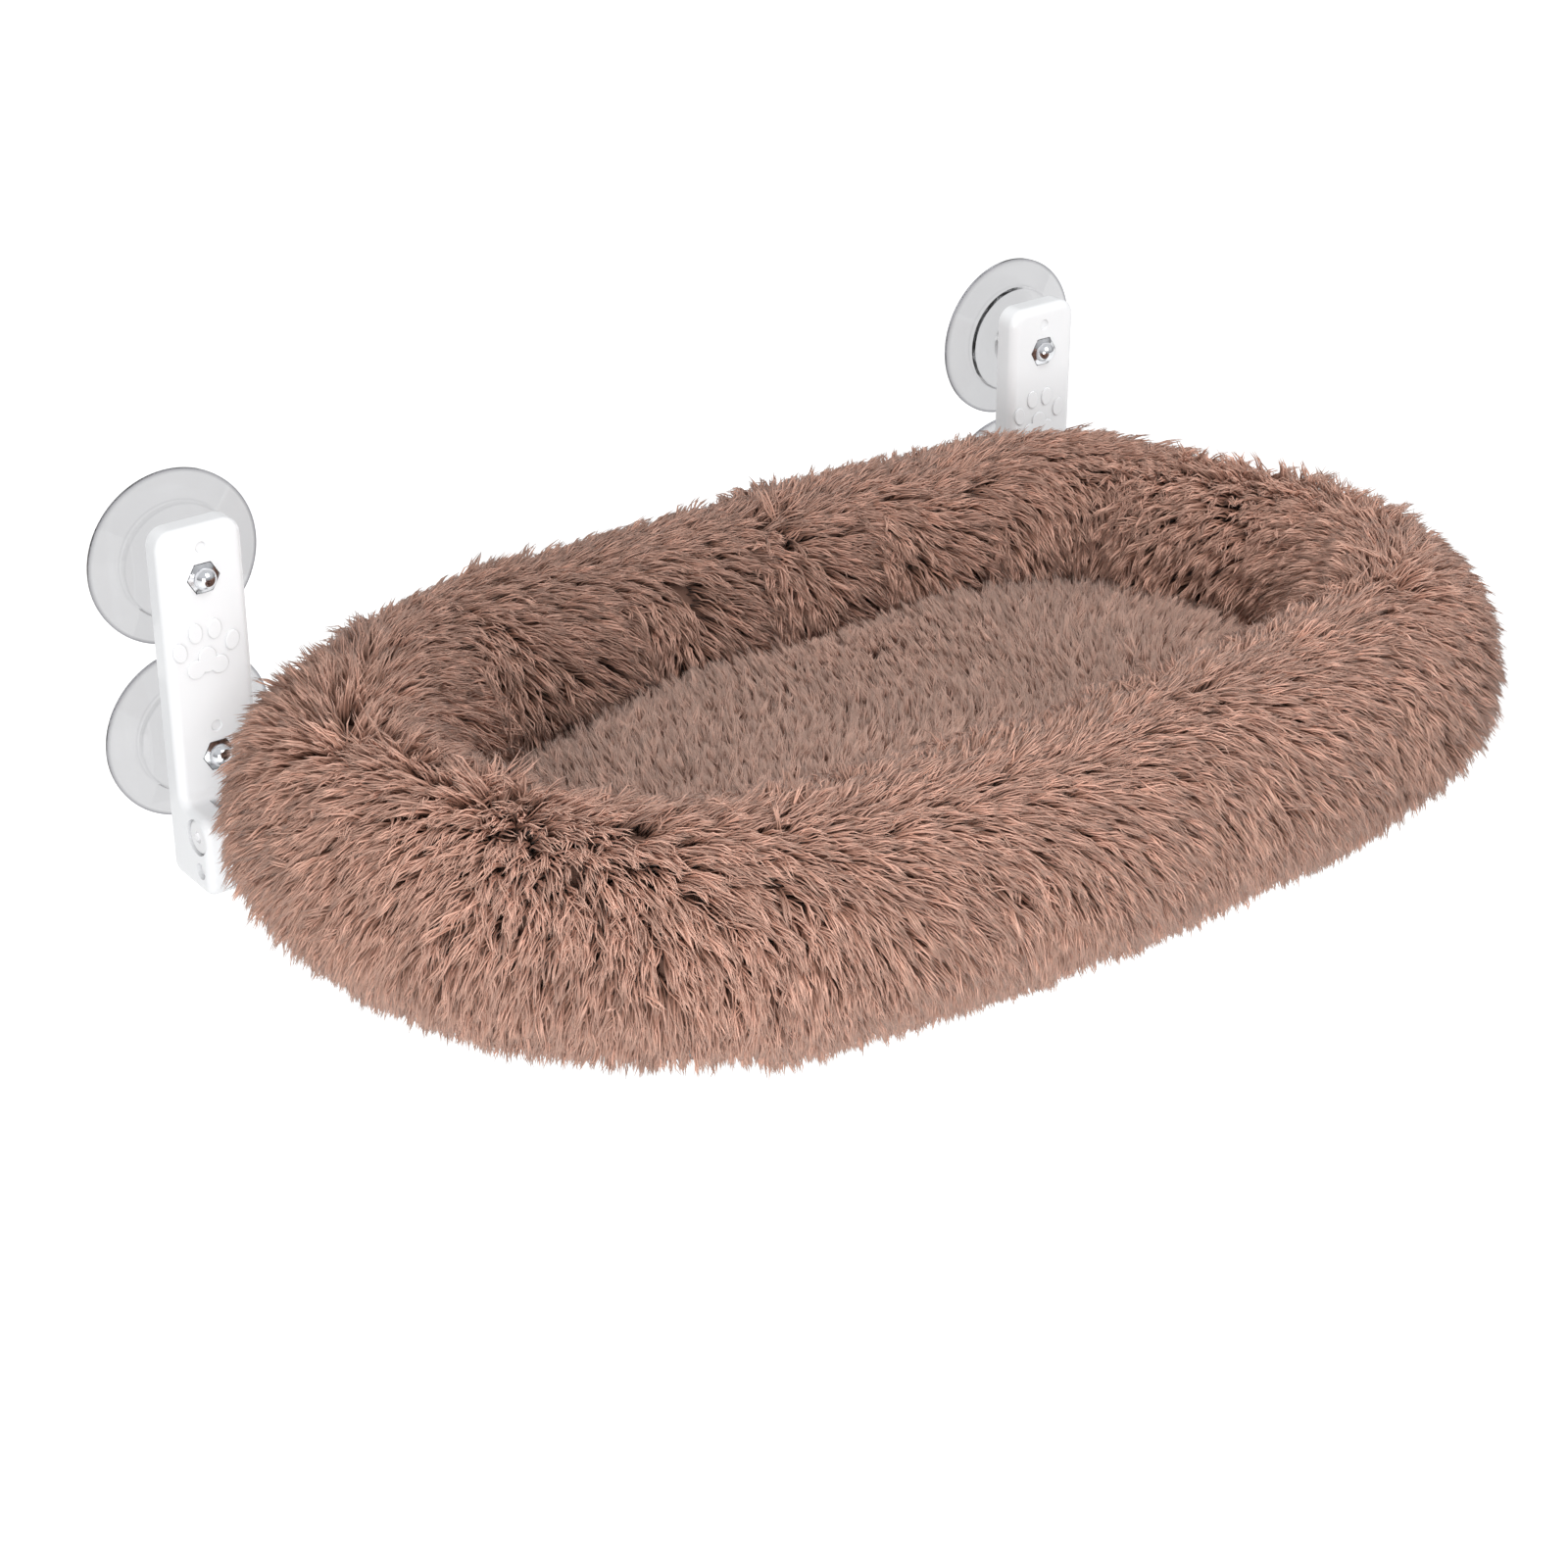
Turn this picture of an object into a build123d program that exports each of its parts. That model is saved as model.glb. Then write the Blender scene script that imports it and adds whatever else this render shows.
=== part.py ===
from build123d import *
from math import atan2, degrees, hypot, radians, sqrt, tan
import os

# Window mounted cat perch, in millimetres.
# Origin: on the glass, midway between the four suction cups.
# +X runs along the window, +Y goes into the glass and +Z is up.

os.makedirs("parts", exist_ok=True)

# Driving sizes of the suction cups
cup_radius = 40.0
cup_height = 17.5
cup_spacing_x = 468.0
cup_spacing_z = 84.0
cup_lip_width = 3.5
cup_lip_thickness = 1.3
cup_dish_depth = 2.6
cup_dish_middle_share = 0.75
cup_web_thickness = 3.2
cup_step_radius = 27.0
cup_step_height = 1.6
cup_hub_radius = 12.0
cup_hub_foot_radius = 15.0

# Driving sizes of the cup studs and the cap nuts
stud_radius = 4.0
stud_flange_radius = 9.0
stud_flange_thickness = 2.0
stud_flange_cover = 2.5
stud_tip_chamfer = 0.8
mould_gap = 0.05
nut_across_flats = 13.0
nut_hex_height = 5.5
nut_dome_radius = 5.2
nut_corner_chamfer = 0.7
nut_top_slope = 25
nut_thread_gap = 0.05
nut_bore_in_dome = 2.2
stud_in_dome = 1.4

# Driving sizes of the brackets
bracket_width = 40.0
bracket_depth = 11.5
bracket_above_cup = 23.5
bracket_wall = 3.0
bracket_corner_radius = 8.0
bracket_edge_radius = 4.0
stud_hole_gap = 0.3
stud_boss_radius = 10.5
nut_pocket_depth = 4.7
nut_pocket_gap = 0.3
dimple_radius = 2.2
dimple_depth = 0.9
dimple_above_nut = 14.0
rib_thickness = 2.4
paw_width = 24.0
paw_relief = 0.8
paw_edge_radius = 0.45
paw_below_nut = 39.0
paw_off_centre = 1.7
toe_width_share = 0.135
toe_height_share = 0.19
lobe_radius_share = 0.175
toe_place_shares = ((-0.52, 0.31, 14), (-0.19, 0.61, 5), (0.19, 0.61, -5), (0.52, 0.31, -14))
lobe_place_shares = ((0, 0.12), (0, -0.02), (-0.23, -0.09), (0.23, -0.09))

# Driving sizes of the hinge at the foot of each bracket
pivot_ahead_of_face = 11.5
ear_ahead_of_pivot = 10.0
ear_above_pivot = 11.0
ear_below_pivot = 27.0
ear_front_radius = 6.0
ear_neck_radius = 5.0
ear_heel_cut = 5.0
slot_side_gap = 0.4
slot_rear_gap = 0.5
slot_floor_gap = 0.15
pivot_bolt_radius = 3.0
pivot_running_gap = 0.05
pivot_head_radius = 8.0
pivot_head_height = 3.2
pivot_nut_across_flats = 10.0
pivot_nut_height = 4.0
cheek_bolt_radius = 2.0
cheek_head_radius = 3.5
cheek_head_height = 2.2
cheek_nut_across_flats = 7.0
cheek_nut_height = 3.0
cheek_bolt_ahead = 1.5
cheek_bolt_drop = 16.0
head_recess_gap = 0.4
head_recess_depth = 4.0
hex_recess_depth = 5.0
hex_key_radius = 3.0
hex_key_share = 0.55

# Driving sizes of the folding steel frame
tube_radius = 6.5
tube_wall = 1.2
frame_front_reach = 325.0
frame_corner_radius = 140.0
arm_end_width = 15.6
arm_end_half_height = 7.8
arm_end_past_ear = 6.0
spigot_length = 28.0
spigot_gap = 0.1
seat_gap = 0.2
crossbar_radius = 5.0
crossbar_wall = 1.0
crossbar_reach = 95.0
weld_gap = 0.05

# Driving sizes of the bed
bed_glass_gap = 33.0
ring_half_length = 238.0
ring_half_width = 128.0
ring_radius = 50.0
ring_height = -15.5
fabric_thickness = 2.8
fill_gap = 0.3
soft_gap = 0.3
bed_long_side_share = 3.5
bed_short_side_share = 2.2
bed_corner_share = 0.84
cushion_side_gap = 0.5
cushion_crown = 52.5
cushion_level_shares = ((0, 0.14), (0.07, 0.03), (0.25, 0), (0.66, 0), (0.82, 0.09), (0.93, 0.31), (1, 0.72))

# Driving sizes of the mesh underside and its pad
mesh_thickness = 3.0
mesh_behind_crossbar = 31.0
mesh_rear_radius = 60.0
pad_side_gap = 1.0
pad_rear_radius = 60.0
side_room_share = 0.95
arm_exit_gap = 0.4

# Places worked out from the driving sizes
overrun = bracket_depth
cup_x = cup_spacing_x / 2
cup_z = cup_spacing_z / 2
back_y = -cup_height
face_y = back_y - bracket_depth
pivot_y = face_y - pivot_ahead_of_face
ear_y = pivot_y - ear_ahead_of_pivot
frame_z = ring_height - ring_radius - soft_gap - tube_radius
bracket_top = cup_z + bracket_above_cup
bed_reach = bed_glass_gap + ring_radius + ring_half_width
mesh_rear_reach = crossbar_reach - mesh_behind_crossbar
ear_top = frame_z + ear_above_pivot
ear_bottom = frame_z - ear_below_pivot
slot_half = arm_end_width / 2 + slot_side_gap
slot_rear = pivot_y + arm_end_half_height + slot_rear_gap
slot_floor = frame_z - arm_end_half_height - slot_floor_gap
half_width = bracket_width / 2
tube_start = ear_y - arm_end_past_ear
tube_bore = tube_radius - tube_wall
nut_seat_y = face_y + nut_pocket_depth
sides = {"left": -cup_x, "right": cup_x}
rows = {"top": cup_z, "bottom": -cup_z}


def hexagon_radius(across_flats):
    """Corner radius of a hexagon from the distance across its flats."""
    return across_flats / sqrt(3)


def facing_window(x, y, z):
    """A plane seen from the room: local x is +X, local y is +Z, and it looks along -Y."""
    return Plane(origin=(x, y, z), x_dir=(1, 0, 0), z_dir=(0, -1, 0))


def across_window(x, y=0, z=0):
    """A plane across the window: local x is +Y, local y is +Z and it looks along +X."""
    return Plane(origin=(x, y, z), x_dir=(0, 1, 0), z_dir=(1, 0, 0))


# Suction cups, clear soft plastic, each with a dished face and a stepped back
def make_cup(x, z, name):
    web_y = -cup_dish_depth - cup_web_thickness
    step_y = web_y - cup_step_height
    flange_y = back_y + stud_flange_cover
    with BuildPart() as cup:
        with BuildSketch(Plane(origin=(x, 0, z))):
            with BuildLine():
                lip = cup_radius - cup_lip_width
                foot_y = step_y - cup_step_height
                dish = ThreePointArc(
                    (0, -cup_dish_depth),
                    (lip / 2, -cup_dish_depth * cup_dish_middle_share),
                    (lip, 0),
                )
                Line(dish @ 1, (cup_radius, 0))
                Line((cup_radius, 0), (cup_radius, -cup_lip_thickness))
                Line((cup_radius, -cup_lip_thickness), (cup_step_radius, web_y))
                Line((cup_step_radius, web_y), (cup_step_radius - cup_step_height / 2, step_y))
                Line(
                    (cup_step_radius - cup_step_height / 2, step_y),
                    (cup_hub_foot_radius, foot_y),
                )
                Line((cup_hub_foot_radius, foot_y), (cup_hub_radius, foot_y - cup_web_thickness))
                Line((cup_hub_radius, foot_y - cup_web_thickness), (cup_hub_radius, back_y))
                Line((cup_hub_radius, back_y), (0, back_y))
                Line((0, back_y), (0, -cup_dish_depth))
            make_face()
        revolve(axis=Axis((x, 0, z), (0, 1, 0)))
        with BuildSketch(facing_window(x, flange_y + stud_flange_thickness, z)):
            Circle(stud_flange_radius + mould_gap)
        extrude(amount=stud_flange_thickness + mould_gap, mode=Mode.SUBTRACT)
        with BuildSketch(facing_window(x, flange_y, z)):
            Circle(stud_radius + mould_gap)
        extrude(amount=stud_flange_cover + overrun, mode=Mode.SUBTRACT)
    cup.part.label = name
    export_step(cup.part, f"parts/{name}.step")


# Threaded steel studs, each with a round flange moulded into a cup's hub
def make_stud(x, z, name):
    flange_y = back_y + stud_flange_cover
    tip_y = nut_seat_y - nut_hex_height - stud_in_dome
    with BuildPart() as stud:
        with BuildSketch(facing_window(x, flange_y + stud_flange_thickness, z)):
            Circle(stud_flange_radius)
        extrude(amount=stud_flange_thickness)
        with BuildSketch(facing_window(x, flange_y, z)):
            Circle(stud_radius)
        extrude(amount=flange_y - tip_y)
        chamfer(stud.faces().sort_by(Axis.Y)[0].edges(), stud_tip_chamfer)
    stud.part.label = name
    export_step(stud.part, f"parts/{name}.step")


# Chromed cap nuts with a sloped hexagon, sunk almost flush in pockets of the bracket's face
def make_cap_nut(x, z, name):
    dome_y = nut_seat_y - nut_hex_height
    shoulder_radius = nut_across_flats / 2 + nut_corner_chamfer
    with BuildPart() as nut:
        with BuildSketch(facing_window(x, nut_seat_y, z)):
            RegularPolygon(hexagon_radius(nut_across_flats), 6)
        extrude(amount=nut_hex_height)
        with BuildSketch(Plane(origin=(x, 0, z))):
            with BuildLine():
                Polyline(
                    (0, nut_seat_y),
                    (shoulder_radius, nut_seat_y),
                    (shoulder_radius, dome_y + (shoulder_radius - nut_dome_radius) * tan(radians(nut_top_slope))),
                    (nut_dome_radius, dome_y),
                    (0, dome_y),
                    close=True,
                )
            make_face()
        revolve(axis=Axis((x, 0, z), (0, 1, 0)), mode=Mode.INTERSECT)
        with BuildSketch(Plane(origin=(x, 0, z))):
            with BuildLine():
                Line((0, dome_y), (nut_dome_radius, dome_y))
                CenterArc((0, dome_y), nut_dome_radius, 270, 90)
                Line((0, dome_y - nut_dome_radius), (0, dome_y))
            make_face()
        revolve(axis=Axis((x, 0, z), (0, 1, 0)))
        with BuildSketch(facing_window(x, nut_seat_y, z)):
            Circle(stud_radius + nut_thread_gap)
        extrude(amount=nut_hex_height + nut_bore_in_dome, mode=Mode.SUBTRACT)
    nut.part.label = name
    export_step(nut.part, f"parts/{name}.step")


# Brackets: white moulded shells, open at the back, with a slotted ear at the foot
def make_bracket(side, x):
    outward = 1 if x > 0 else -1
    paw_z = cup_z - paw_below_nut
    with BuildPart() as bracket:
        with BuildSketch(across_window(x)):
            with BuildLine():
                Line((back_y, bracket_top), (face_y, bracket_top))
                FilletPolyline(
                    (face_y, bracket_top),
                    (face_y, ear_top),
                    (ear_y, ear_top),
                    (ear_y, ear_bottom),
                    (back_y - ear_heel_cut, ear_bottom),
                    radius=[ear_neck_radius, ear_front_radius, ear_front_radius],
                )
                Line((back_y - ear_heel_cut, ear_bottom), (back_y, ear_bottom + ear_heel_cut))
                Line((back_y, ear_bottom + ear_heel_cut), (back_y, bracket_top))
            make_face()
        extrude(amount=half_width, both=True)
        fillet(bracket.edges().filter_by(Axis.Y).group_by(Axis.Z)[-1], bracket_corner_radius)
        top_front = bracket.edges().filter_by(Axis.X).group_by(Axis.Z)[-1].sort_by(Axis.Y)[0]
        fillet(top_front, bracket_edge_radius)
        # Hollow back, with a boss round each stud and a rib between them
        hollow_top = bracket_top - bracket_wall
        hollow_foot = ear_top + bracket_wall
        with BuildSketch(facing_window(x, back_y, 0)):
            with Locations((0, (hollow_top + hollow_foot) / 2)):
                RectangleRounded(
                    bracket_width - 2 * bracket_wall,
                    hollow_top - hollow_foot,
                    bracket_corner_radius - bracket_wall,
                )
            with Locations((0, cup_z), (0, -cup_z)):
                Circle(stud_boss_radius, mode=Mode.SUBTRACT)
            Rectangle(bracket_width, rib_thickness, mode=Mode.SUBTRACT)
        extrude(amount=bracket_depth - bracket_wall, mode=Mode.SUBTRACT)
        # Stud holes with hexagonal nut pockets, and a round dimple above each
        with BuildSketch(facing_window(x, back_y + overrun, 0)):
            with Locations((0, cup_z), (0, -cup_z)):
                Circle(stud_radius + stud_hole_gap)
        extrude(amount=bracket_depth + 2 * overrun, mode=Mode.SUBTRACT)
        with BuildSketch(facing_window(x, nut_seat_y, 0)):
            with Locations((0, cup_z), (0, -cup_z)):
                RegularPolygon(hexagon_radius(nut_across_flats + 2 * nut_pocket_gap), 6)
        extrude(amount=nut_pocket_depth + overrun, mode=Mode.SUBTRACT)
        dimple_z = (cup_z + dimple_above_nut, -cup_z + dimple_above_nut)
        with BuildSketch(facing_window(x, face_y + dimple_depth, 0)):
            with Locations(*[(0, z) for z in dimple_z]):
                Circle(dimple_radius)
        extrude(amount=dimple_depth + overrun, mode=Mode.SUBTRACT, taper=-30)
        # Paw in low relief: four toes over one pad
        with BuildSketch(facing_window(x - paw_off_centre, face_y + paw_relief, paw_z)):
            for across, up, lean in toe_place_shares:
                with Locations(Location((across * paw_width, up * paw_width, 0), (0, 0, lean))):
                    Ellipse(toe_width_share * paw_width, toe_height_share * paw_width)
            with Locations(*[(u * paw_width, v * paw_width) for u, v in lobe_place_shares]):
                Circle(lobe_radius_share * paw_width)
        extrude(amount=2 * paw_relief)
        paw_tops = bracket.faces().filter_by(GeomType.PLANE).filter_by_position(
            Axis.Y, face_y - 3 * paw_relief / 2, face_y - paw_relief / 2
        )
        fillet(paw_tops.edges(), paw_edge_radius)
        # Slot of the ear for the arm end, closed below as its stop
        with BuildSketch(across_window(x)):
            with BuildLine():
                Polyline(
                    (slot_rear, ear_top + overrun),
                    (ear_y - overrun, ear_top + overrun),
                    (ear_y - overrun, slot_floor),
                    (slot_rear, slot_floor),
                    close=True,
                )
            make_face()
        extrude(amount=slot_half, both=True, mode=Mode.SUBTRACT)
        # Bores of the pivot bolt and the cheek bolt, with their recesses
        for y, z, shank, head, across_flats in (
            (pivot_y, frame_z, pivot_bolt_radius, pivot_head_radius, pivot_nut_across_flats),
            (
                pivot_y - cheek_bolt_ahead,
                frame_z - cheek_bolt_drop,
                cheek_bolt_radius,
                cheek_head_radius,
                cheek_nut_across_flats,
            ),
        ):
            head_x = x + outward * half_width
            nut_x = x - outward * half_width
            with BuildSketch(across_window(x, y, z)):
                Circle(shank + pivot_running_gap)
            extrude(amount=bracket_width, both=True, mode=Mode.SUBTRACT)
            with BuildSketch(across_window(head_x, y, z)):
                Circle(head + head_recess_gap)
            extrude(amount=-outward * head_recess_depth, mode=Mode.SUBTRACT)
            with BuildSketch(across_window(nut_x, y, z)):
                RegularPolygon(hexagon_radius(across_flats + nut_pocket_gap), 6)
            extrude(amount=outward * hex_recess_depth, mode=Mode.SUBTRACT)
    name = f"bracket_{side}"
    bracket.part.label = name
    export_step(bracket.part, f"parts/{name}.step")


# Bolts across the ear, with a domed socket head outside and a nut inside
def make_cross_bolt(side, x, y, z, shank, head, head_height, across_flats, nut_height, kind):
    outward = 1 if x > 0 else -1
    head_x = x + outward * (half_width - head_recess_depth)
    nut_x = x - outward * (half_width - hex_recess_depth)
    turned = {"x_dir": (0, 1, 0), "z_dir": (outward, 0, 0)}
    with BuildPart() as bolt:
        with BuildSketch(Plane(origin=(head_x, y, z), **turned)):
            Circle(head)
        extrude(amount=head_height)
        fillet(bolt.faces().filter_by(Axis.X).sort_by(Axis.X)[-1 if x > 0 else 0].edges(), head_height / 2)
        with BuildSketch(Plane(origin=(head_x + outward * head_height, y, z), **turned)):
            RegularPolygon(hex_key_radius * head / pivot_head_radius, 6)
        extrude(amount=-head_height * hex_key_share, mode=Mode.SUBTRACT)
        with BuildSketch(Plane(origin=(head_x, y, z), **turned)):
            Circle(shank)
        extrude(amount=-abs(head_x - nut_x) - nut_height)
    name = f"{kind}_bolt_{side}"
    bolt.part.label = name
    export_step(bolt.part, f"parts/{name}.step")
    with BuildPart() as nut:
        with BuildSketch(Plane(origin=(nut_x, y, z), **turned)):
            RegularPolygon(hexagon_radius(across_flats), 6)
            Circle(shank + nut_thread_gap, mode=Mode.SUBTRACT)
        extrude(amount=-nut_height)
    name = f"{kind}_nut_{side}"
    nut.part.label = name
    export_step(nut.part, f"parts/{name}.step")


# Arm ends: moulded eyes that turn on the pivot bolts and plug into the tube
def make_arm_end(side, x):
    with BuildPart() as arm_end:
        with BuildSketch(across_window(x)):
            with Locations((pivot_y, frame_z)):
                Circle(arm_end_half_height)
            with Locations(((pivot_y + tube_start) / 2, frame_z)):
                Rectangle(pivot_y - tube_start, 2 * arm_end_half_height)
        extrude(amount=arm_end_width / 2, both=True)
        with BuildSketch(facing_window(x, tube_start, frame_z)):
            Circle(tube_bore - spigot_gap)
        extrude(amount=spigot_length)
        with BuildSketch(across_window(x)):
            with Locations((pivot_y, frame_z)):
                Circle(pivot_bolt_radius + pivot_running_gap)
        extrude(amount=arm_end_width, both=True, mode=Mode.SUBTRACT)
    name = f"arm_end_{side}"
    arm_end.part.label = name
    export_step(arm_end.part, f"parts/{name}.step")


for side, x in sides.items():
    make_bracket(side, x)
    make_arm_end(side, x)
    make_cross_bolt(
        side,
        x,
        pivot_y,
        frame_z,
        pivot_bolt_radius,
        pivot_head_radius,
        pivot_head_height,
        pivot_nut_across_flats,
        pivot_nut_height,
        "pivot",
    )
    make_cross_bolt(
        side,
        x,
        pivot_y - cheek_bolt_ahead,
        frame_z - cheek_bolt_drop,
        cheek_bolt_radius,
        cheek_head_radius,
        cheek_head_height,
        cheek_nut_across_flats,
        cheek_nut_height,
        "cheek",
    )
    for row, z in rows.items():
        make_cup(x, z, f"suction_cup_{side}_{row}")
        make_stud(x, z, f"cup_stud_{side}_{row}")
        make_cap_nut(x, z, f"cap_nut_{side}_{row}")

# Frame tube: one steel tube bent to a U under the bed
with BuildPart() as frame_tube:
    with BuildLine(Plane.XY.offset(frame_z)) as frame_path:
        FilletPolyline(
            (-cup_x, tube_start - seat_gap),
            (-cup_x, -frame_front_reach),
            (cup_x, -frame_front_reach),
            (cup_x, tube_start - seat_gap),
            radius=frame_corner_radius,
        )
    with BuildSketch(facing_window(-cup_x, tube_start - seat_gap, frame_z)):
        Circle(tube_radius)
        Circle(tube_bore, mode=Mode.SUBTRACT)
    sweep(path=frame_path.wire())
frame_tube.part.label = "frame_tube"
export_step(frame_tube.part, "parts/frame_tube.step")

# Rear crossbar: a thinner tube coped and welded between the arms
with BuildPart() as rear_crossbar:
    with BuildSketch(across_window(0, -crossbar_reach, frame_z)):
        Circle(crossbar_radius)
        Circle(crossbar_radius - crossbar_wall, mode=Mode.SUBTRACT)
    extrude(amount=cup_x, both=True)
    with BuildSketch(facing_window(0, -crossbar_reach, frame_z)):
        with Locations((-cup_x, 0), (cup_x, 0)):
            Circle(tube_radius + weld_gap)
    extrude(amount=2 * tube_radius, both=True, mode=Mode.SUBTRACT)
rear_crossbar.part.label = "rear_crossbar"
export_step(rear_crossbar.part, "parts/rear_crossbar.step")


def oval_lines(grow):
    """Adds the bed's outline, moved outward by grow, as eight tangent arcs about the bed's centre."""
    a = ring_half_length + grow
    b = ring_half_width + grow
    long_radius = bed_long_side_share * ring_half_length + grow
    short_radius = bed_short_side_share * ring_half_width + grow
    corner_radius = bed_corner_share * ring_half_width + grow
    # Centre of the corner arc: it touches a long side arc and an end arc
    long_centre = (0, b - long_radius)
    end_centre = (a - short_radius, 0)
    apart = hypot(end_centre[0] - long_centre[0], end_centre[1] - long_centre[1])
    from_long = long_radius - corner_radius
    from_end = short_radius - corner_radius
    along = (from_long**2 - from_end**2 + apart**2) / (2 * apart)
    aside = sqrt(from_long**2 - along**2)
    unit = ((end_centre[0] - long_centre[0]) / apart, (end_centre[1] - long_centre[1]) / apart)
    corner = (
        long_centre[0] + along * unit[0] + aside * unit[1],
        long_centre[1] + along * unit[1] - aside * unit[0],
    )
    end_angle = degrees(atan2(corner[1] - end_centre[1], corner[0] - end_centre[0]))
    long_angle = degrees(atan2(corner[1] - long_centre[1], corner[0] - long_centre[0]))
    quarter = long_angle - end_angle
    y = -bed_reach
    top = 90 - long_angle
    CenterArc((end_centre[0], y), short_radius, -end_angle, 2 * end_angle)
    CenterArc((corner[0], y + corner[1]), corner_radius, end_angle, quarter)
    CenterArc((0, y + long_centre[1]), long_radius, long_angle, 2 * top)
    CenterArc((-corner[0], y + corner[1]), corner_radius, 180 - long_angle, quarter)
    CenterArc((-end_centre[0], y), short_radius, 180 - end_angle, 2 * end_angle)
    CenterArc((-corner[0], y - corner[1]), corner_radius, 180 + end_angle, quarter)
    CenterArc((0, y - long_centre[1]), long_radius, 180 + long_angle, 2 * top)
    CenterArc((corner[0], y - corner[1]), corner_radius, 360 - long_angle, quarter)


def ring(radius):
    """A round section of that radius, swept round the bed's centre line."""
    with BuildPart() as swept:
        with BuildLine(Plane.XY.offset(ring_height)) as ring_path:
            oval_lines(0)
        path = ring_path.wire()
        with BuildSketch(Plane(origin=path @ 0, z_dir=path % 0)):
            Circle(radius)
        sweep(path=path)
    return swept.part


# Bolster of the bed: a long pile cover round a stuffed filling
with BuildPart() as bolster_cover:
    add(ring(ring_radius))
    add(ring(ring_radius - fabric_thickness), mode=Mode.SUBTRACT)
bolster_cover.part.label = "bolster_cover"
export_step(bolster_cover.part, "parts/bolster_cover.step")

with BuildPart() as bolster_filling:
    add(ring(ring_radius - fabric_thickness - fill_gap))
bolster_filling.part.label = "bolster_filling"
export_step(bolster_filling.part, "parts/bolster_filling.step")


def cushion(inset):
    """The cushion's form, drawn in at its foot and crowned on top, moved inward by inset."""
    foot = frame_z + tube_radius + soft_gap
    edge = ring_radius + cushion_side_gap
    corner_radius = bed_corner_share * ring_half_width - edge
    with BuildPart() as form:
        for up_share, in_share in cushion_level_shares:
            shift = inset * (1 - 2 * up_share)
            height = foot + up_share * cushion_crown + shift
            with BuildSketch(Plane.XY.offset(height)):
                with BuildLine():
                    oval_lines(-edge - in_share * corner_radius - inset)
                make_face()
        loft()
    return form.part


# Cushion on the floor of the bed: a short pile cover round its filling
with BuildPart() as cushion_cover:
    add(cushion(0))
    add(cushion(fabric_thickness), mode=Mode.SUBTRACT)
cushion_cover.part.label = "cushion_cover"
export_step(cushion_cover.part, "parts/cushion_cover.step")

with BuildPart() as cushion_filling:
    add(cushion(fabric_thickness + fill_gap))
cushion_filling.part.label = "cushion_filling"
export_step(cushion_filling.part, "parts/cushion_filling.step")


def base_outline(grow, rear_reach, rear_radius):
    """Outline round the frame's centre line, moved outward by grow, with its rear edge at rear_reach."""
    half = cup_x + grow
    front = -frame_front_reach - grow
    front_radius = frame_corner_radius + grow
    rear_radius = min(rear_radius, side_room_share * (-front - front_radius - rear_reach))
    FilletPolyline(
        (-half, -rear_reach),
        (-half, front),
        (half, front),
        (half, -rear_reach),
        radius=[rear_radius, front_radius, front_radius, rear_radius],
        close=True,
    )


# Mesh underside: a shallow tray of spacer mesh, wrapped round the frame tube
mesh_inside = tube_radius + soft_gap
mesh_outside = mesh_inside + mesh_thickness
rim_z = frame_z + tube_radius
with BuildPart() as mesh_underside:
    with BuildSketch(Plane.XY.offset(frame_z - mesh_outside)):
        with BuildLine():
            base_outline(mesh_outside, mesh_rear_reach, mesh_rear_radius)
        make_face()
    extrude(amount=rim_z - frame_z + mesh_outside)
    fillet(mesh_underside.faces().sort_by(Axis.Z)[0].edges(), mesh_outside)
    with BuildPart(mode=Mode.PRIVATE) as tray_inside:
        with BuildSketch(Plane.XY.offset(frame_z - mesh_inside)):
            with BuildLine():
                base_outline(mesh_inside, mesh_rear_reach + mesh_thickness, mesh_rear_radius - mesh_thickness)
            make_face()
        extrude(amount=rim_z - frame_z + mesh_inside + overrun)
        fillet(tray_inside.faces().sort_by(Axis.Z)[0].edges(), mesh_inside)
    add(tray_inside.part, mode=Mode.SUBTRACT)
    with BuildSketch(facing_window(0, -mesh_rear_reach, frame_z)):
        with Locations((-cup_x, 0), (cup_x, 0)):
            Circle(tube_radius + arm_exit_gap)
            with Locations((0, tube_radius)):
                Rectangle(2 * (tube_radius + arm_exit_gap), 2 * tube_radius)
    extrude(amount=mesh_rear_radius, mode=Mode.SUBTRACT)
mesh_underside.part.label = "mesh_underside"
export_step(mesh_underside.part, "parts/mesh_underside.step")

# Base pad: a foam slab on the mesh, inside the frame
with BuildPart() as base_pad:
    with BuildSketch(Plane.XY.offset(frame_z - mesh_inside)):
        with BuildLine():
            base_outline(
                -tube_radius - pad_side_gap,
                crossbar_reach + crossbar_radius + pad_side_gap,
                pad_rear_radius,
            )
        make_face()
    extrude(amount=mesh_inside + tube_radius)
base_pad.part.label = "base_pad"
export_step(base_pad.part, "parts/base_pad.step")
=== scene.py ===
import math

import bpy
import numpy as np
from mathutils import Matrix, Vector


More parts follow.
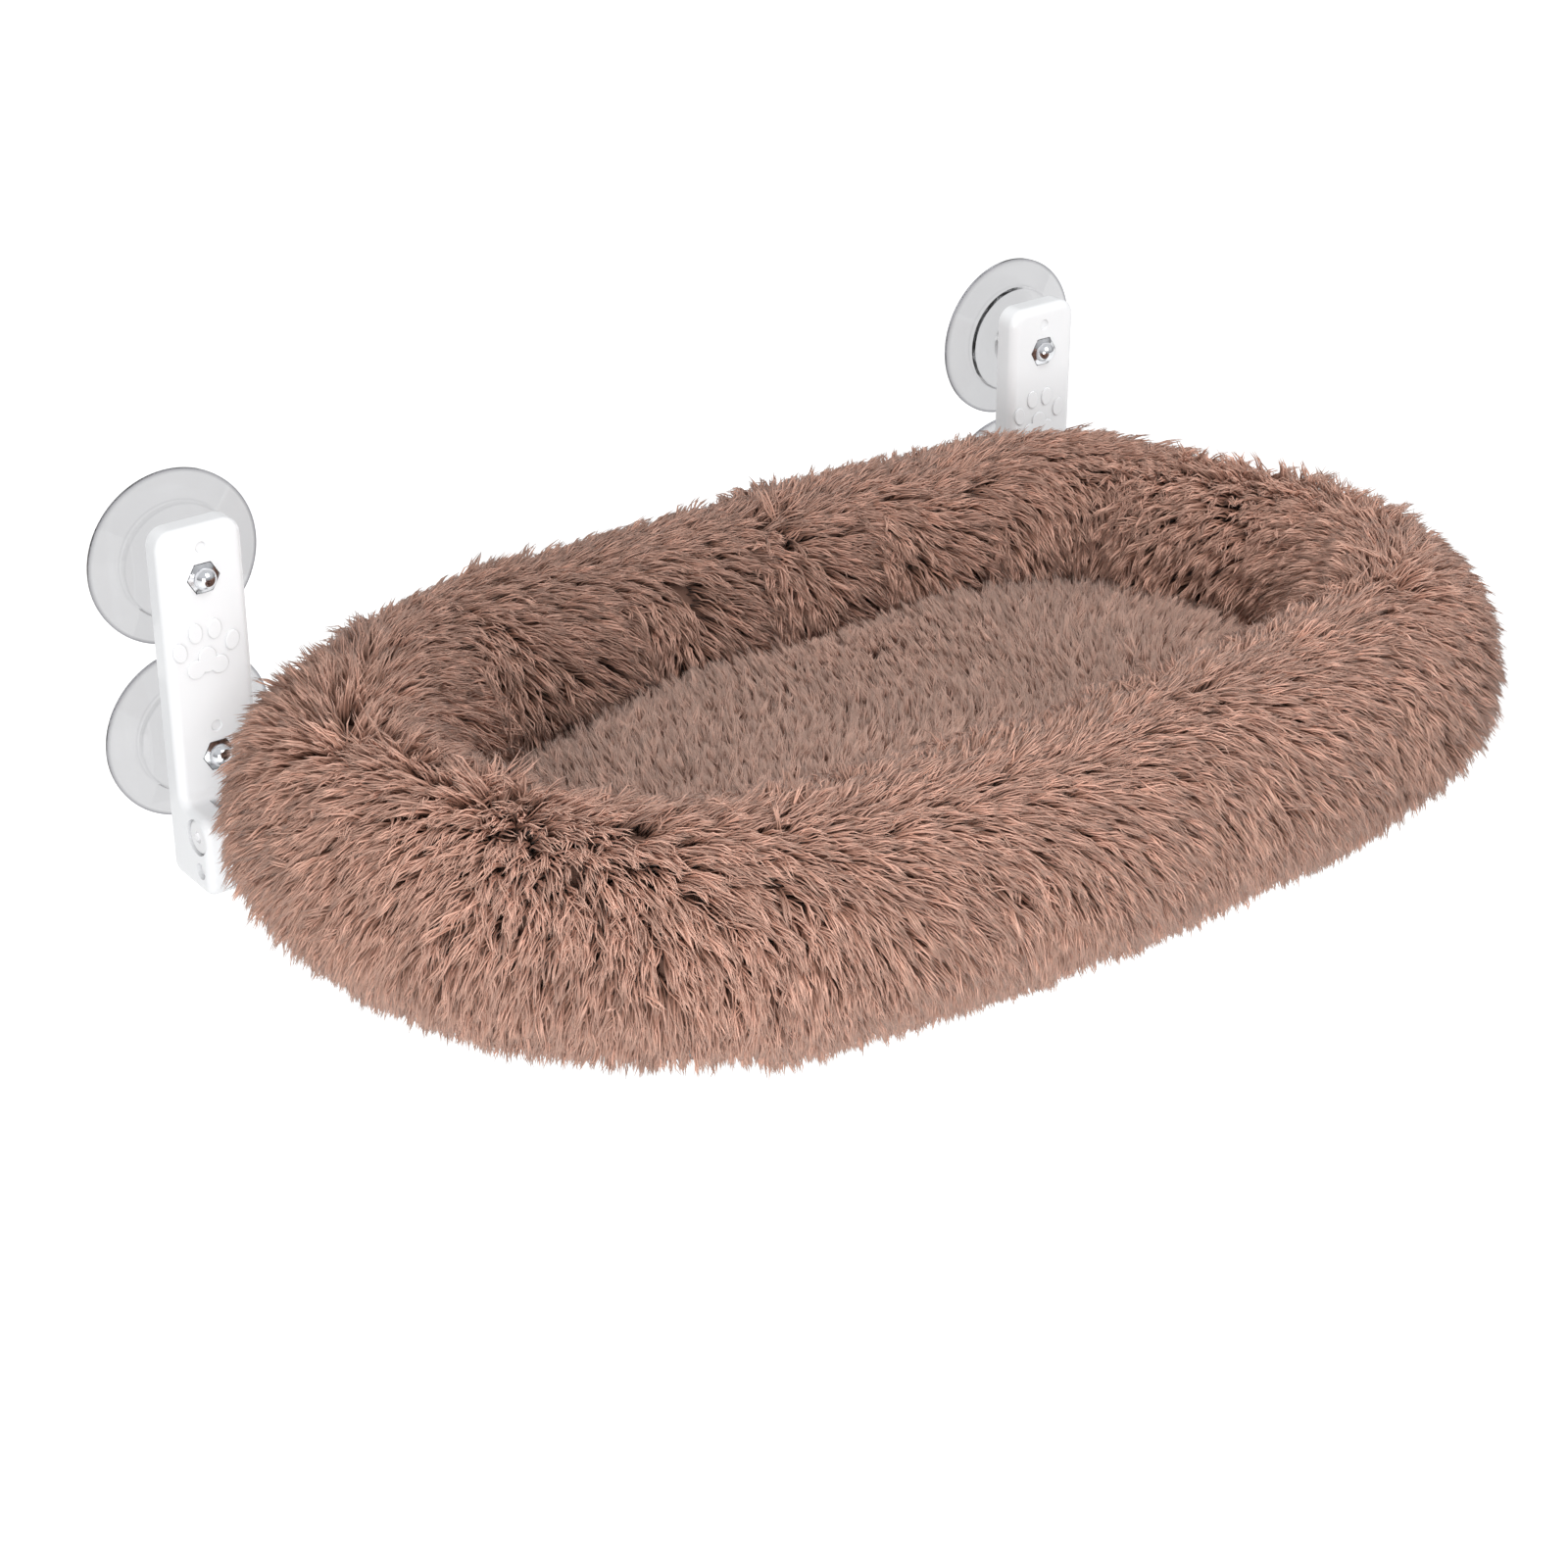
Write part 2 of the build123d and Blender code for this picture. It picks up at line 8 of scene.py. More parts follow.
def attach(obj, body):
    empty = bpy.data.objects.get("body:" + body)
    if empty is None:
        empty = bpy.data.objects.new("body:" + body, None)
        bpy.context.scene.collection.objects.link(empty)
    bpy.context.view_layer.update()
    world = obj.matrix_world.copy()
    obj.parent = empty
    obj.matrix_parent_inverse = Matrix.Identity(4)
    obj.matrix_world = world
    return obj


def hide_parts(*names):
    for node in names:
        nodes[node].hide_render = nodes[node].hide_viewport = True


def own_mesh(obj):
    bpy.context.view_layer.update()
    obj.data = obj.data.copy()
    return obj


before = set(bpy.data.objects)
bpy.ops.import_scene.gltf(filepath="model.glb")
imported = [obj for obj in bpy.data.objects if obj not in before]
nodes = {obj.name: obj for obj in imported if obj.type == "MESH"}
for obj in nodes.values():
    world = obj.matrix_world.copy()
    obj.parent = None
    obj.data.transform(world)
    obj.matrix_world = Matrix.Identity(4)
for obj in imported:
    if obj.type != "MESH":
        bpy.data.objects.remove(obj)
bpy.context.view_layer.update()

# Camera. The photographer stands in the room, to the left of the perch and above
# it, with a long lens. The place and turn were solved from the cups' outlines.
photo_pixels = 1600
focal_pixels = 3332.9
sensor_width = 36.0
camera_spot = Vector((-0.7915, -1.1964, 0.6066))
camera_turn = math.radians(-36.51)
camera_drop = math.radians(27.58)
camera_far = 60

camera_data = bpy.data.cameras.new("room_camera")
camera_data.sensor_width = sensor_width
camera_data.lens = sensor_width * focal_pixels / photo_pixels
camera_data.clip_end = camera_far
camera = bpy.data.objects.new("room_camera", camera_data)
bpy.context.scene.collection.objects.link(camera)
level = math.cos(camera_drop)
camera_back = Vector((math.sin(camera_turn) * level, -math.cos(camera_turn) * level, math.sin(camera_drop)))
camera_right = Vector((math.cos(camera_turn), math.sin(camera_turn), 0))
camera_up = camera_back.cross(camera_right)
camera_axes = Matrix((camera_right, camera_up, camera_back)).transposed()
camera.matrix_world = Matrix.Translation(camera_spot) @ camera_axes.to_4x4()
bpy.context.scene.camera = camera

# Studio. A pale floor lies well below the perch, which hangs from its window, and
# the room is white. Mirrors and gloss see a darker room with a bright upper half.
floor_height = -0.45
floor_half = 14.0
floor_base = (0.58, 0.58, 0.58, 1)
floor_shade = (0.93, 0.93, 0.93, 1)
floor_roughness = 0.8
floor_glow = 0.82
floor_bounce = 0.06
white_room = (1.0, 1.0, 1.0, 1)
room_strength = 0.59
mirror_strength = 0.9
mirror_room = (
    (0.44, (0.16, 0.16, 0.17, 1)),
    (0.56, (0.45, 0.45, 0.46, 1)),
    (0.78, (0.85, 0.86, 0.88, 1)),
)
bed_middle = (0.0, -0.2, -0.03)


def set_inputs(node, **values):
    """Sets a shader node's inputs, each named with an underscore for a space."""
    for socket, value in values.items():
        node.inputs[socket.replace("_", " ")].default_value = value
    return node


def join(tree, *pairs):
    """Links each pair of an output and an input."""
    for source, target in pairs:
        tree.links.new(source, target)


def fill_ramp(node, stops):
    """Sets the stops of a colour ramp, each a place and a colour, from low to high."""
    elements = node.color_ramp.elements
    for end in (0, -1):
        elements[end].position = stops[end][0]
        elements[end].color = stops[end][1]
    for place, colour in stops[1:-1]:
        elements.new(place).color = colour


floor_mesh = bpy.data.meshes.new("studio_floor")
floor_signs = [(-1, -1), (1, -1), (1, 1), (-1, 1)]
floor_corners = [(x * floor_half, y * floor_half, floor_height) for x, y in floor_signs]
floor_mesh.from_pydata(floor_corners, [], [(0, 1, 2, 3)])
floor = bpy.data.objects.new("studio_floor", floor_mesh)
bpy.context.scene.collection.objects.link(floor)
floor_paint = bpy.data.materials.new("studio_floor")
floor_paint.use_nodes = True
floor_tree = floor_paint.node_tree
floor_shader = floor_tree.nodes["Principled BSDF"]
set_inputs(floor_shader, Base_Color=floor_base, Roughness=floor_roughness, Emission_Color=floor_shade)
floor_ray = floor_tree.nodes.new("ShaderNodeLightPath")
floor_light = floor_tree.nodes.new("ShaderNodeMapRange")
set_inputs(floor_light, To_Min=floor_glow, To_Max=floor_bounce)
join(
    floor_tree,
    (floor_ray.outputs["Is Diffuse Ray"], floor_light.inputs["Value"]),
    (floor_light.outputs[0], floor_shader.inputs["Emission Strength"]),
)
floor_mesh.materials.append(floor_paint)

room = bpy.data.worlds.new("studio_room")
room.use_nodes = True
bpy.context.scene.world = room
air = room.node_tree
air.nodes.clear()
plain_air, seen_air, mirror_air = [air.nodes.new("ShaderNodeBackground") for _ in range(3)]
set_inputs(plain_air, Color=white_room, Strength=room_strength)
set_inputs(seen_air, Color=white_room)
set_inputs(mirror_air, Strength=mirror_strength)
air_place = air.nodes.new("ShaderNodeTexCoord")
air_split = air.nodes.new("ShaderNodeSeparateXYZ")
air_height = set_inputs(air.nodes.new("ShaderNodeMapRange"), From_Min=-1)
air_shade = air.nodes.new("ShaderNodeValToRGB")
fill_ramp(air_shade, mirror_room)
air_ray = air.nodes.new("ShaderNodeLightPath")
only_mirrored = air.nodes.new("ShaderNodeMath")
only_mirrored.operation = "SUBTRACT"
only_mirrored.use_clamp = True
for_mirrors = air.nodes.new("ShaderNodeMixShader")
for_camera = air.nodes.new("ShaderNodeMixShader")
air_out = air.nodes.new("ShaderNodeOutputWorld")
join(
    air,
    (air_place.outputs["Generated"], air_split.inputs[0]),
    (air_split.outputs["Z"], air_height.inputs["Value"]),
    (air_height.outputs[0], air_shade.inputs["Fac"]),
    (air_shade.outputs["Color"], mirror_air.inputs["Color"]),
    (air_ray.outputs["Is Glossy Ray"], only_mirrored.inputs[0]),
    (air_ray.outputs["Is Transmission Ray"], only_mirrored.inputs[1]),
    (only_mirrored.outputs[0], for_mirrors.inputs[0]),
    (plain_air.outputs[0], for_mirrors.inputs[1]),
    (mirror_air.outputs[0], for_mirrors.inputs[2]),
    (air_ray.outputs["Is Camera Ray"], for_camera.inputs[0]),
    (for_mirrors.outputs[0], for_camera.inputs[1]),
    (seen_air.outputs[0], for_camera.inputs[2]),
    (for_camera.outputs[0], air_out.inputs["Surface"]),
)
bpy.context.scene.view_settings.view_transform = "Standard"


def soft_light(name, spot, width, power):
    """A square area light at spot that looks at the bed."""
    data = bpy.data.lights.new(name, "AREA")
    data.size = width
    data.energy = power
    lamp = bpy.data.objects.new(name, data)
    bpy.context.scene.collection.objects.link(lamp)
    lamp.location = spot
    lamp.visible_camera = False
    lamp.rotation_euler = (Vector(bed_middle) - Vector(spot)).to_track_quat("-Z", "Y").to_euler()


soft_light("key_from_front_left", (-1.12, -1.42, 0.20), width=0.7, power=14.5)
soft_light("fill_from_right", (2.4, -2.0, 1.0), width=1.6, power=1)
soft_light("top", (0.10, -1.00, 1.05), width=0.8, power=9.5)

# Brackets and arm ends. Glossy white mouldings, the brackets with a paw in relief,
# that came from polished tools: a faint cloudiness and the slightest orange peel.
bracket_white_low = (0.905, 0.915, 0.93, 1)
bracket_white_high = (0.935, 0.945, 0.96, 1)
# Painted shade: the white is darkened in nooks and corners, round the paw and in the ears' recesses, where
# shade falls.
painted_nook_shade_reach = 0.004
painted_nook_shade_floor = 0.66
grain_strength = 0.35
cloud_detail = 4
grain_detail = 1


def shade_group(name, inputs, outputs):
    """An empty shader node group with named inputs and outputs, and its two end nodes."""
    group = bpy.data.node_groups.new(name, "ShaderNodeTree")
    for socket, kind in inputs:
        group.interface.new_socket(socket, in_out="INPUT", socket_type=kind)
    for socket, kind in outputs:
        group.interface.new_socket(socket, in_out="OUTPUT", socket_type=kind)
    return group, group.nodes.new("NodeGroupInput"), group.nodes.new("NodeGroupOutput")


uneven, uneven_in, uneven_out = shade_group(
    "uneven_surface",
    [("Clouds per metre", "NodeSocketFloat"), ("Grains per metre", "NodeSocketFloat")],
    [("Cloud", "NodeSocketFloat"), ("Grain", "NodeSocketFloat")],
)
uneven_place = uneven.nodes.new("ShaderNodeTexCoord")
for given, made, detail in (
    ("Clouds per metre", "Cloud", cloud_detail),
    ("Grains per metre", "Grain", grain_detail),
):
    noise = set_inputs(uneven.nodes.new("ShaderNodeTexNoise"), Detail=detail)
    join(
        uneven,
        (uneven_place.outputs["Object"], noise.inputs["Vector"]),
        (uneven_in.outputs[given], noise.inputs["Scale"]),
        (noise.outputs["Fac"], uneven_out.inputs[made]),
    )


def mixed(tree, share, low, high, blend="MIX"):
    """The blend of two colours by share. Each of the three is a value or an output."""
    node = tree.nodes.new("ShaderNodeMix")
    node.data_type = "RGBA"
    node.blend_type = blend
    for k, given in ((0, share), (6, low), (7, high)):
        if isinstance(given, bpy.types.NodeSocket):
            tree.links.new(given, node.inputs[k])
        else:
            node.inputs[k].default_value = given
    return node.outputs[2]


def base_tint(shader):
    """The output that colours the shader."""
    return shader.inputs["Base Color"].links[0].from_socket


def hard_finish(name, low, high, smooth, rough, clouds, grains, relief, **constants):
    """A material whose shade and gloss drift a little, with a fine grain."""
    material = bpy.data.materials.new(name)
    material.use_nodes = True
    tree = material.node_tree
    shader = set_inputs(tree.nodes["Principled BSDF"], **constants)
    surface = tree.nodes.new("ShaderNodeGroup")
    surface.node_tree = uneven
    set_inputs(surface, Clouds_per_metre=clouds, Grains_per_metre=grains)
    gloss = set_inputs(tree.nodes.new("ShaderNodeMapRange"), To_Min=smooth, To_Max=rough)
    bump = set_inputs(tree.nodes.new("ShaderNodeBump"), Strength=grain_strength, Distance=relief)
    join(
        tree,
        (mixed(tree, surface.outputs["Cloud"], low, high), shader.inputs["Base Color"]),
        (surface.outputs["Cloud"], gloss.inputs["Value"]),
        (gloss.outputs[0], shader.inputs["Roughness"]),
        (surface.outputs["Grain"], bump.inputs["Height"]),
        (bump.outputs[0], shader.inputs["Normal"]),
    )
    return material


def dress(material, *names):
    """Puts the material on these CAD nodes."""
    for name in names:
        for slot in nodes[name].material_slots:
            slot.material = material


sides = ("left", "right")
rows = ("top", "bottom")
corners = [f"{side}_{row}" for side in sides for row in rows]
bracket_plastic = hard_finish(
    "bracket_plastic", bracket_white_low, bracket_white_high,
    smooth=0.16, rough=0.26, clouds=30, grains=1400, relief=0.00008,
)
bracket_tree = bracket_plastic.node_tree
bracket_shader = bracket_tree.nodes["Principled BSDF"]
# Painted shade in the nooks: ambient occlusion darkens the white's base colour.
nook_occlusion = set_inputs(bracket_tree.nodes.new("ShaderNodeAmbientOcclusion"), Distance=painted_nook_shade_reach)
painted_nook_shade = set_inputs(bracket_tree.nodes.new("ShaderNodeMapRange"), To_Min=painted_nook_shade_floor)
painted_nook_tint = mixed(bracket_tree, 1.0, base_tint(bracket_shader), painted_nook_shade.outputs[0], "MULTIPLY")
join(
    bracket_tree,
    (nook_occlusion.outputs["AO"], painted_nook_shade.inputs["Value"]),
    (painted_nook_tint, bracket_shader.inputs["Base Color"]),
)
dress(bracket_plastic, *[f"bracket_{side}" for side in sides], *[f"arm_end_{side}" for side in sides])

# Suction cups. Clear soft plastic with a polished face, so the glass shows through it greyed; it is
# thickest at the hub, and grey rings at its turned rim and step are painted shade for the light bent there.
cup_x = 0.234
cup_rise = 0.042
cup_radius = 0.040
cup_low = (0.56, 0.56, 0.57, 1)
cup_high = (0.62, 0.62, 0.63, 1)
cup_painted_edge_shade = (0.22, 0.22, 0.24, 1)
cup_edge_shade_steps = ((0, 0), (0.635, 0), (0.650, 0.30), (0.668, 0.05), (0.69, 0), (0.955, 0), (0.985, 0.6), (1, 1))


def vector_steps(tree, link, steps):
    """Sends an output through vector nodes, each an operation and its second value."""
    for operation, value in steps:
        step = tree.nodes.new("ShaderNodeVectorMath")
        step.operation = operation
        tree.links.new(link, step.inputs[0])
        if value:
            step.inputs[1].default_value = value
        link = step.outputs["Value" if operation == "LENGTH" else "Vector"]
    return link


cup_plastic = hard_finish(
    "clear_soft_plastic", cup_low, cup_high,
    smooth=0.03, rough=0.07, clouds=24, grains=900, relief=0.00002, Transmission_Weight=1.0, IOR=1.45,
)
cup_tree = cup_plastic.node_tree
cup_shader = cup_tree.nodes["Principled BSDF"]
cup_place = cup_tree.nodes.new("ShaderNodeTexCoord")
cup_reach = vector_steps(cup_tree, cup_place.outputs["Object"], (
    ("ABSOLUTE", None),
    ("SUBTRACT", (cup_x, 0, cup_rise)),
    ("MULTIPLY", (1 / cup_radius, 0, 1 / cup_radius)),
    ("LENGTH", None),
))
# Painted shade: darker rings at the cup's rim and step ring stand in for the light bent and reflected
# there.
painted_cup_edge_lines = cup_tree.nodes.new("ShaderNodeValToRGB")
fill_ramp(painted_cup_edge_lines, [(reach, (dark, dark, dark, 1)) for reach, dark in cup_edge_shade_steps])
painted_cup_edge_tint = mixed(cup_tree, painted_cup_edge_lines.outputs["Color"], base_tint(cup_shader), cup_painted_edge_shade)
join(cup_tree, (cup_reach, painted_cup_edge_lines.inputs["Fac"]), (painted_cup_edge_tint, cup_shader.inputs["Base Color"]))
dress(cup_plastic, *[f"suction_cup_{corner}" for corner in corners])

# Nuts, studs and bolts. The cap nuts are chromed and polished; the studs in the
# cups are zinc plated, and the bolts through the ears have white painted heads.
chrome_low = (0.66, 0.67, 0.69, 1)
chrome_high = (0.76, 0.77, 0.79, 1)
zinc_low = (0.42, 0.43, 0.45, 1)
zinc_high = (0.58, 0.59, 0.61, 1)
bolt_white_low = (0.84, 0.84, 0.85, 1)
bolt_white_high = (0.90, 0.90, 0.91, 1)

nut_chrome = hard_finish(
    "nut_chrome", chrome_low, chrome_high,
    smooth=0.09, rough=0.16, clouds=60, grains=2500, relief=0.00002, Metallic=1.0,
)
zinc_steel = hard_finish(
    "zinc_steel", zinc_low, zinc_high,
    smooth=0.26, rough=0.42, clouds=90, grains=5200, relief=0.00004, Metallic=1.0,
)
bolt_paint = hard_finish(
    "bolt_paint", bolt_white_low, bolt_white_high,
    smooth=0.28, rough=0.40, clouds=120, grains=2600, relief=0.00005,
)
dress(nut_chrome, *[f"cap_nut_{corner}" for corner in corners])
dress(zinc_steel, *[f"cup_stud_{corner}" for corner in corners])
for side in sides:
    dress(zinc_steel, f"pivot_nut_{side}", f"cheek_nut_{side}")
    dress(bolt_paint, f"pivot_bolt_{side}", f"cheek_bolt_{side}")

# Folding frame. One bent steel tube with a thinner bar welded across, both powder
# coated white, with the coat's fine pebbling.
coat_low = (0.70, 0.70, 0.71, 1)
coat_high = (0.78, 0.78, 0.79, 1)

frame_paint = hard_finish(
    "frame_paint", coat_low, coat_high,
    smooth=0.30, rough=0.42, clouds=22, grains=1900, relief=0.00012,
)
dress(frame_paint, "frame_tube", "rear_crossbar")

# Mesh underside. A tray of grey spacer mesh, knitted with staggered round holes,
# drawn over the frame tube so that its edge is padded; it sags a little inside.
tube_radius = 0.0065
frame_height = -0.0723
frame_front = 0.325
frame_corner = 0.140
mesh_clearance = 0.0003
mesh_thickness = 0.003
mesh_rear = 0.064
mesh_rear_corner = 0.060
mesh_sag = 0.0035
mesh_sag_power = 1.5
mesh_pulls = np.linspace(0.05, 1, 16)
mesh_rib_low = (0.16, 0.16, 0.165, 1)
mesh_rib_high = (0.30, 0.30, 0.31, 1)
# The holes are painted near black, as painted shade in their depth.
mesh_hole_painted_shade = (0.010, 0.010, 0.011, 1)
hole_pitch = 0.0046
hole_rim_shares = (0.24, 0.36)
rib_strength = 0.8
rib_relief = 0.0009
ring_points = 360
quarter_turn = math.pi / 2


def arc_run(centre, radius, start, sweep, steps=300):
    """Points of an arc, each with the way it faces outward."""
    angle = np.linspace(start, start + sweep, steps, endpoint=False)
    facing = np.stack([np.cos(angle), np.sin(angle)], 1)
    return np.hstack([np.array(centre) + radius * facing, facing])


def line_run(begin, end, facing, steps=80):
    """Points of a straight run, each with the way it faces outward."""
    share = np.linspace(0, 1, steps, endpoint=False)[:, None]
    points = (1 - share) * np.array(begin) + share * np.array(end)
    return np.hstack([points, np.tile(facing, (steps, 1))])


def walk(path, share):
    """Places and outward directions at these shares of the way round a closed path."""
    loop = np.vstack([path, path[:1]])
    gone = np.concatenate([[0], np.cumsum(np.linalg.norm(np.diff(loop[:, :2], axis=0), axis=1))])
    found = np.stack([np.interp(share * gone[-1], gone, loop[:, k]) for k in range(4)], -1)
    facing = found[..., 2:] / np.linalg.norm(found[..., 2:], axis=-1, keepdims=True)
    return found[..., :2], facing


def frame_path(grow, rear, rear_corner):
    """The frame's outline, moved outward by grow, with its rear edge at rear."""
    half = cup_x + grow
    front = frame_front + grow
    corner = frame_corner + grow
    return np.vstack([
        line_run((half, -front + corner), (half, -rear - rear_corner), (1, 0)),
        arc_run((half - rear_corner, -rear - rear_corner), rear_corner, 0, quarter_turn),
        line_run((half - rear_corner, -rear), (-half + rear_corner, -rear), (0, 1)),
        arc_run((-half + rear_corner, -rear - rear_corner), rear_corner, quarter_turn, quarter_turn),
        line_run((-half, -rear - rear_corner), (-half, -front + corner), (-1, 0)),
        arc_run((-half + corner, -front + corner), corner, 2 * quarter_turn, quarter_turn),
        line_run((-half + corner, -front), (half - corner, -front), (0, -1)),
        arc_run((half - corner, -front + corner), corner, 3 * quarter_turn, quarter_turn),
    ])


def ring_at(path, inset, height, pull=1.0):
    """One ring of points: the path moved inward by inset, then drawn to its middle by pull."""
    places, facing = walk(path, np.arange(ring_points) / ring_points)
    places = places - inset * facing
    middle = places.mean(0)
    places = middle + (places - middle) * pull
    return np.column_stack([places, np.full(ring_points, height)])


def round_rings(path, inset, height, radius, turns):
    """Rings round an edge of this radius about height, from below at 0 to above at half a turn."""
    return [
        ring_at(path, inset + radius * (1 - math.sin(turn)), height - radius * math.cos(turn))
        for turn in turns
    ]


def new_piece(name, points, faces, material):
    """A smooth mesh object from points and faces, with its material."""
    mesh = bpy.data.meshes.new(name)
    mesh.from_pydata(points, [], faces)
    mesh.polygons.foreach_set("use_smooth", [True] * len(faces))
    mesh.materials.append(material)
    piece = bpy.data.objects.new(name, mesh)
    bpy.context.scene.collection.objects.link(piece)
    return piece


def stacked(name, rings, material):
    """A closed body from a stack of rings, each end closed by a fan to its middle."""
    rings = np.array(rings)
    count, around = rings.shape[:2]
    points = np.vstack([rings.reshape(-1, 3), rings[0].mean(0), rings[-1].mean(0)])
    faces = []
    for k in range(count - 1):
        for i in range(around):
            j = (i + 1) % around
            faces.append((k * around + i, k * around + j, (k + 1) * around + j, (k + 1) * around + i))
    last = (count - 1) * around
    for i in range(around):
        j = (i + 1) % around
        faces.append((count * around, j, i))
        faces.append((count * around + 1, last + i, last + j))
    return new_piece(name, points.tolist(), faces, material)


def mesh_floor(path, outer, depth, pulls):
    """Rings of the tray's sagging floor, depth below the frame's middle."""
    return [
        ring_at(path, outer, frame_height - depth - mesh_sag * (1 - pull**2) ** mesh_sag_power, pull)
        for pull in pulls
    ]


def mesh_rings():
    """The tray's outer face from the middle of its floor to its rim, then its inner face back."""
    outer = tube_radius + mesh_clearance + mesh_thickness
    inner = outer - mesh_thickness
    path = frame_path(outer, mesh_rear, mesh_rear_corner)
    rim = frame_height + tube_radius
    turns = np.linspace(0, quarter_turn, 9)
    rings = mesh_floor(path, outer, outer, mesh_pulls)
    rings += round_rings(path, 0, frame_height, outer, turns[1:])
    rings.append(ring_at(path, 0, rim))
    rings.append(ring_at(path, mesh_thickness / 2, rim + mesh_thickness / 4))
    rings.append(ring_at(path, mesh_thickness, rim))
    rings += round_rings(path, mesh_thickness, frame_height, inner, turns[::-1])
    rings += mesh_floor(path, outer, inner, mesh_pulls[::-1][1:])
    return rings


def spacer_mesh():
    """Grey knitted ribs round staggered holes, which are painted near black as the shade inside them."""
    material = hard_finish(
        "spacer_mesh", mesh_rib_low, mesh_rib_high,
        smooth=0.62, rough=0.80, clouds=260, grains=5200, relief=rib_relief,
    )
    tree = material.node_tree
    shader = tree.nodes["Principled BSDF"]
    place = tree.nodes.new("ShaderNodeTexCoord")
    tall = math.sqrt(3)
    cell = (1 / hole_pitch, 1 / (tall * hole_pitch), 0)
    nearest = tree.nodes.new("ShaderNodeMath")
    nearest.operation = "MINIMUM"
    for k, shift in enumerate((0.0, 0.5)):
        reach = vector_steps(tree, place.outputs["Object"], (
            ("MULTIPLY", cell),
            ("ADD", (shift, shift, 0)),
            ("FRACTION", None),
            ("SUBTRACT", (0.5, 0.5, 0)),
            ("MULTIPLY", (1, tall, 0)),
            ("LENGTH", None),
        ))
        tree.links.new(reach, nearest.inputs[k])
    rib = tree.nodes.new("ShaderNodeMapRange")
    rib.interpolation_type = "SMOOTHSTEP"
    set_inputs(rib, From_Min=hole_rim_shares[0], From_Max=hole_rim_shares[1])
    bump = set_inputs(shader.inputs["Normal"].links[0].from_node, Strength=rib_strength)
    join(
        tree,
        (nearest.outputs[0], rib.inputs["Value"]),
        (mixed(tree, rib.outputs[0], mesh_hole_painted_shade, base_tint(shader)), shader.inputs["Base Color"]),
        (rib.outputs[0], bump.inputs["Height"]),
    )
    return material


mesh_cloth = stacked("mesh_cloth", mesh_rings(), spacer_mesh())
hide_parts("mesh_underside")
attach(mesh_cloth, "perch")

# Base pad. A slab of brown foam that lies on the mesh inside the frame, under the
# cushion and the bolster; its edges are cut square and have worn soft.
pad_gap = 0.001
crossbar_reach = 0.095
crossbar_radius = 0.005
pad_rear_corner = 0.060
pad_edge = 0.0035
pad_pulls = np.linspace(0.1, 1, 6)
foam_low = (0.085, 0.050, 0.040, 1)
foam_high = (0.140, 0.088, 0.070, 1)

pad_path = frame_path(-tube_radius - pad_gap, crossbar_reach + crossbar_radius + pad_gap, pad_rear_corner)
pad_low = frame_height - tube_radius - mesh_clearance
pad_top = frame_height + tube_radius - mesh_clearance
pad_turns = np.linspace(0, quarter_turn, 5)
pad_rings = [ring_at(pad_path, pad_edge, pad_low, pull) for pull in pad_pulls]
pad_rings += round_rings(pad_path, 0, pad_low + pad_edge, pad_edge, pad_turns[1:])
pad_rings += round_rings(pad_path, 0, pad_top - pad_edge, pad_edge, quarter_turn + pad_turns)
pad_rings += [ring_at(pad_path, pad_edge, pad_top, pull) for pull in pad_pulls[::-1][1:]]
pad_foam = hard_finish(
    "pad_foam", foam_low, foam_high,
    smooth=0.85, rough=0.95, clouds=40, grains=1300, relief=0.0008,
)
foam_pad = stacked("foam_pad", pad_rings, pad_foam)
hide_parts("base_pad")
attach(foam_pad, "perch")

# Bolster. A stuffed ring in a cover of long pile. This is the cover's knitted back,
# which shows only as the dark between the locks; it is gathered on the inner wall.
bed_middle_y = -0.211
ring_half_length = 0.238
ring_half_width = 0.128
ring_height = -0.0155
skin_radius = 0.0375
skin_foot = 0.0485
skin_foot_power = 6
long_side_share = 3.5
short_side_share = 2.2
corner_share = 0.84
backing_low = (0.150, 0.080, 0.058, 1)
backing_high = (0.210, 0.115, 0.083, 1)
skin_along = 420
skin_across = 64

# The ring is not even: its left end is fuller, its right end and front left corner
# are drawn in, and its rear swells at two places. Lumps and gathers go round it. A
# pair is where a change starts and is full, or where a hump is highest and its width.
left_fuller = 0.009
left_fuller_x = (-0.08, -0.23)
left_fuller_y = (-0.24, -0.32)
left_fuller_loss = 1.7
right_drawn = 0.029
right_drawn_x = (0.235, 0.07)
right_drawn_y = (-0.175, 0.060)
front_left_drawn = 0.008
front_left_x = (-0.235, 0.05)
front_left_y = (-0.245, 0.035)
rear_swells = ((0.004, 0.175, 0.045), (0.006, -0.14, 0.04))
rear_swells_y = (-0.21, -0.15)
lump_depth = 0.0016
lumps_at_most = 3
lump_waves = ((5, 1, 0.4), (9, -1, 2.1), (14, 2, 4.0), (23, -2, 1.2))
gather_depth = 0.0045
gather_width = 0.007
gather_reach = 0.022
gather_girth = 1.19
gather_places = (0.165, 0.215, 0.268, 0.330, 0.405, 0.520, 0.655, 0.790, 0.905)


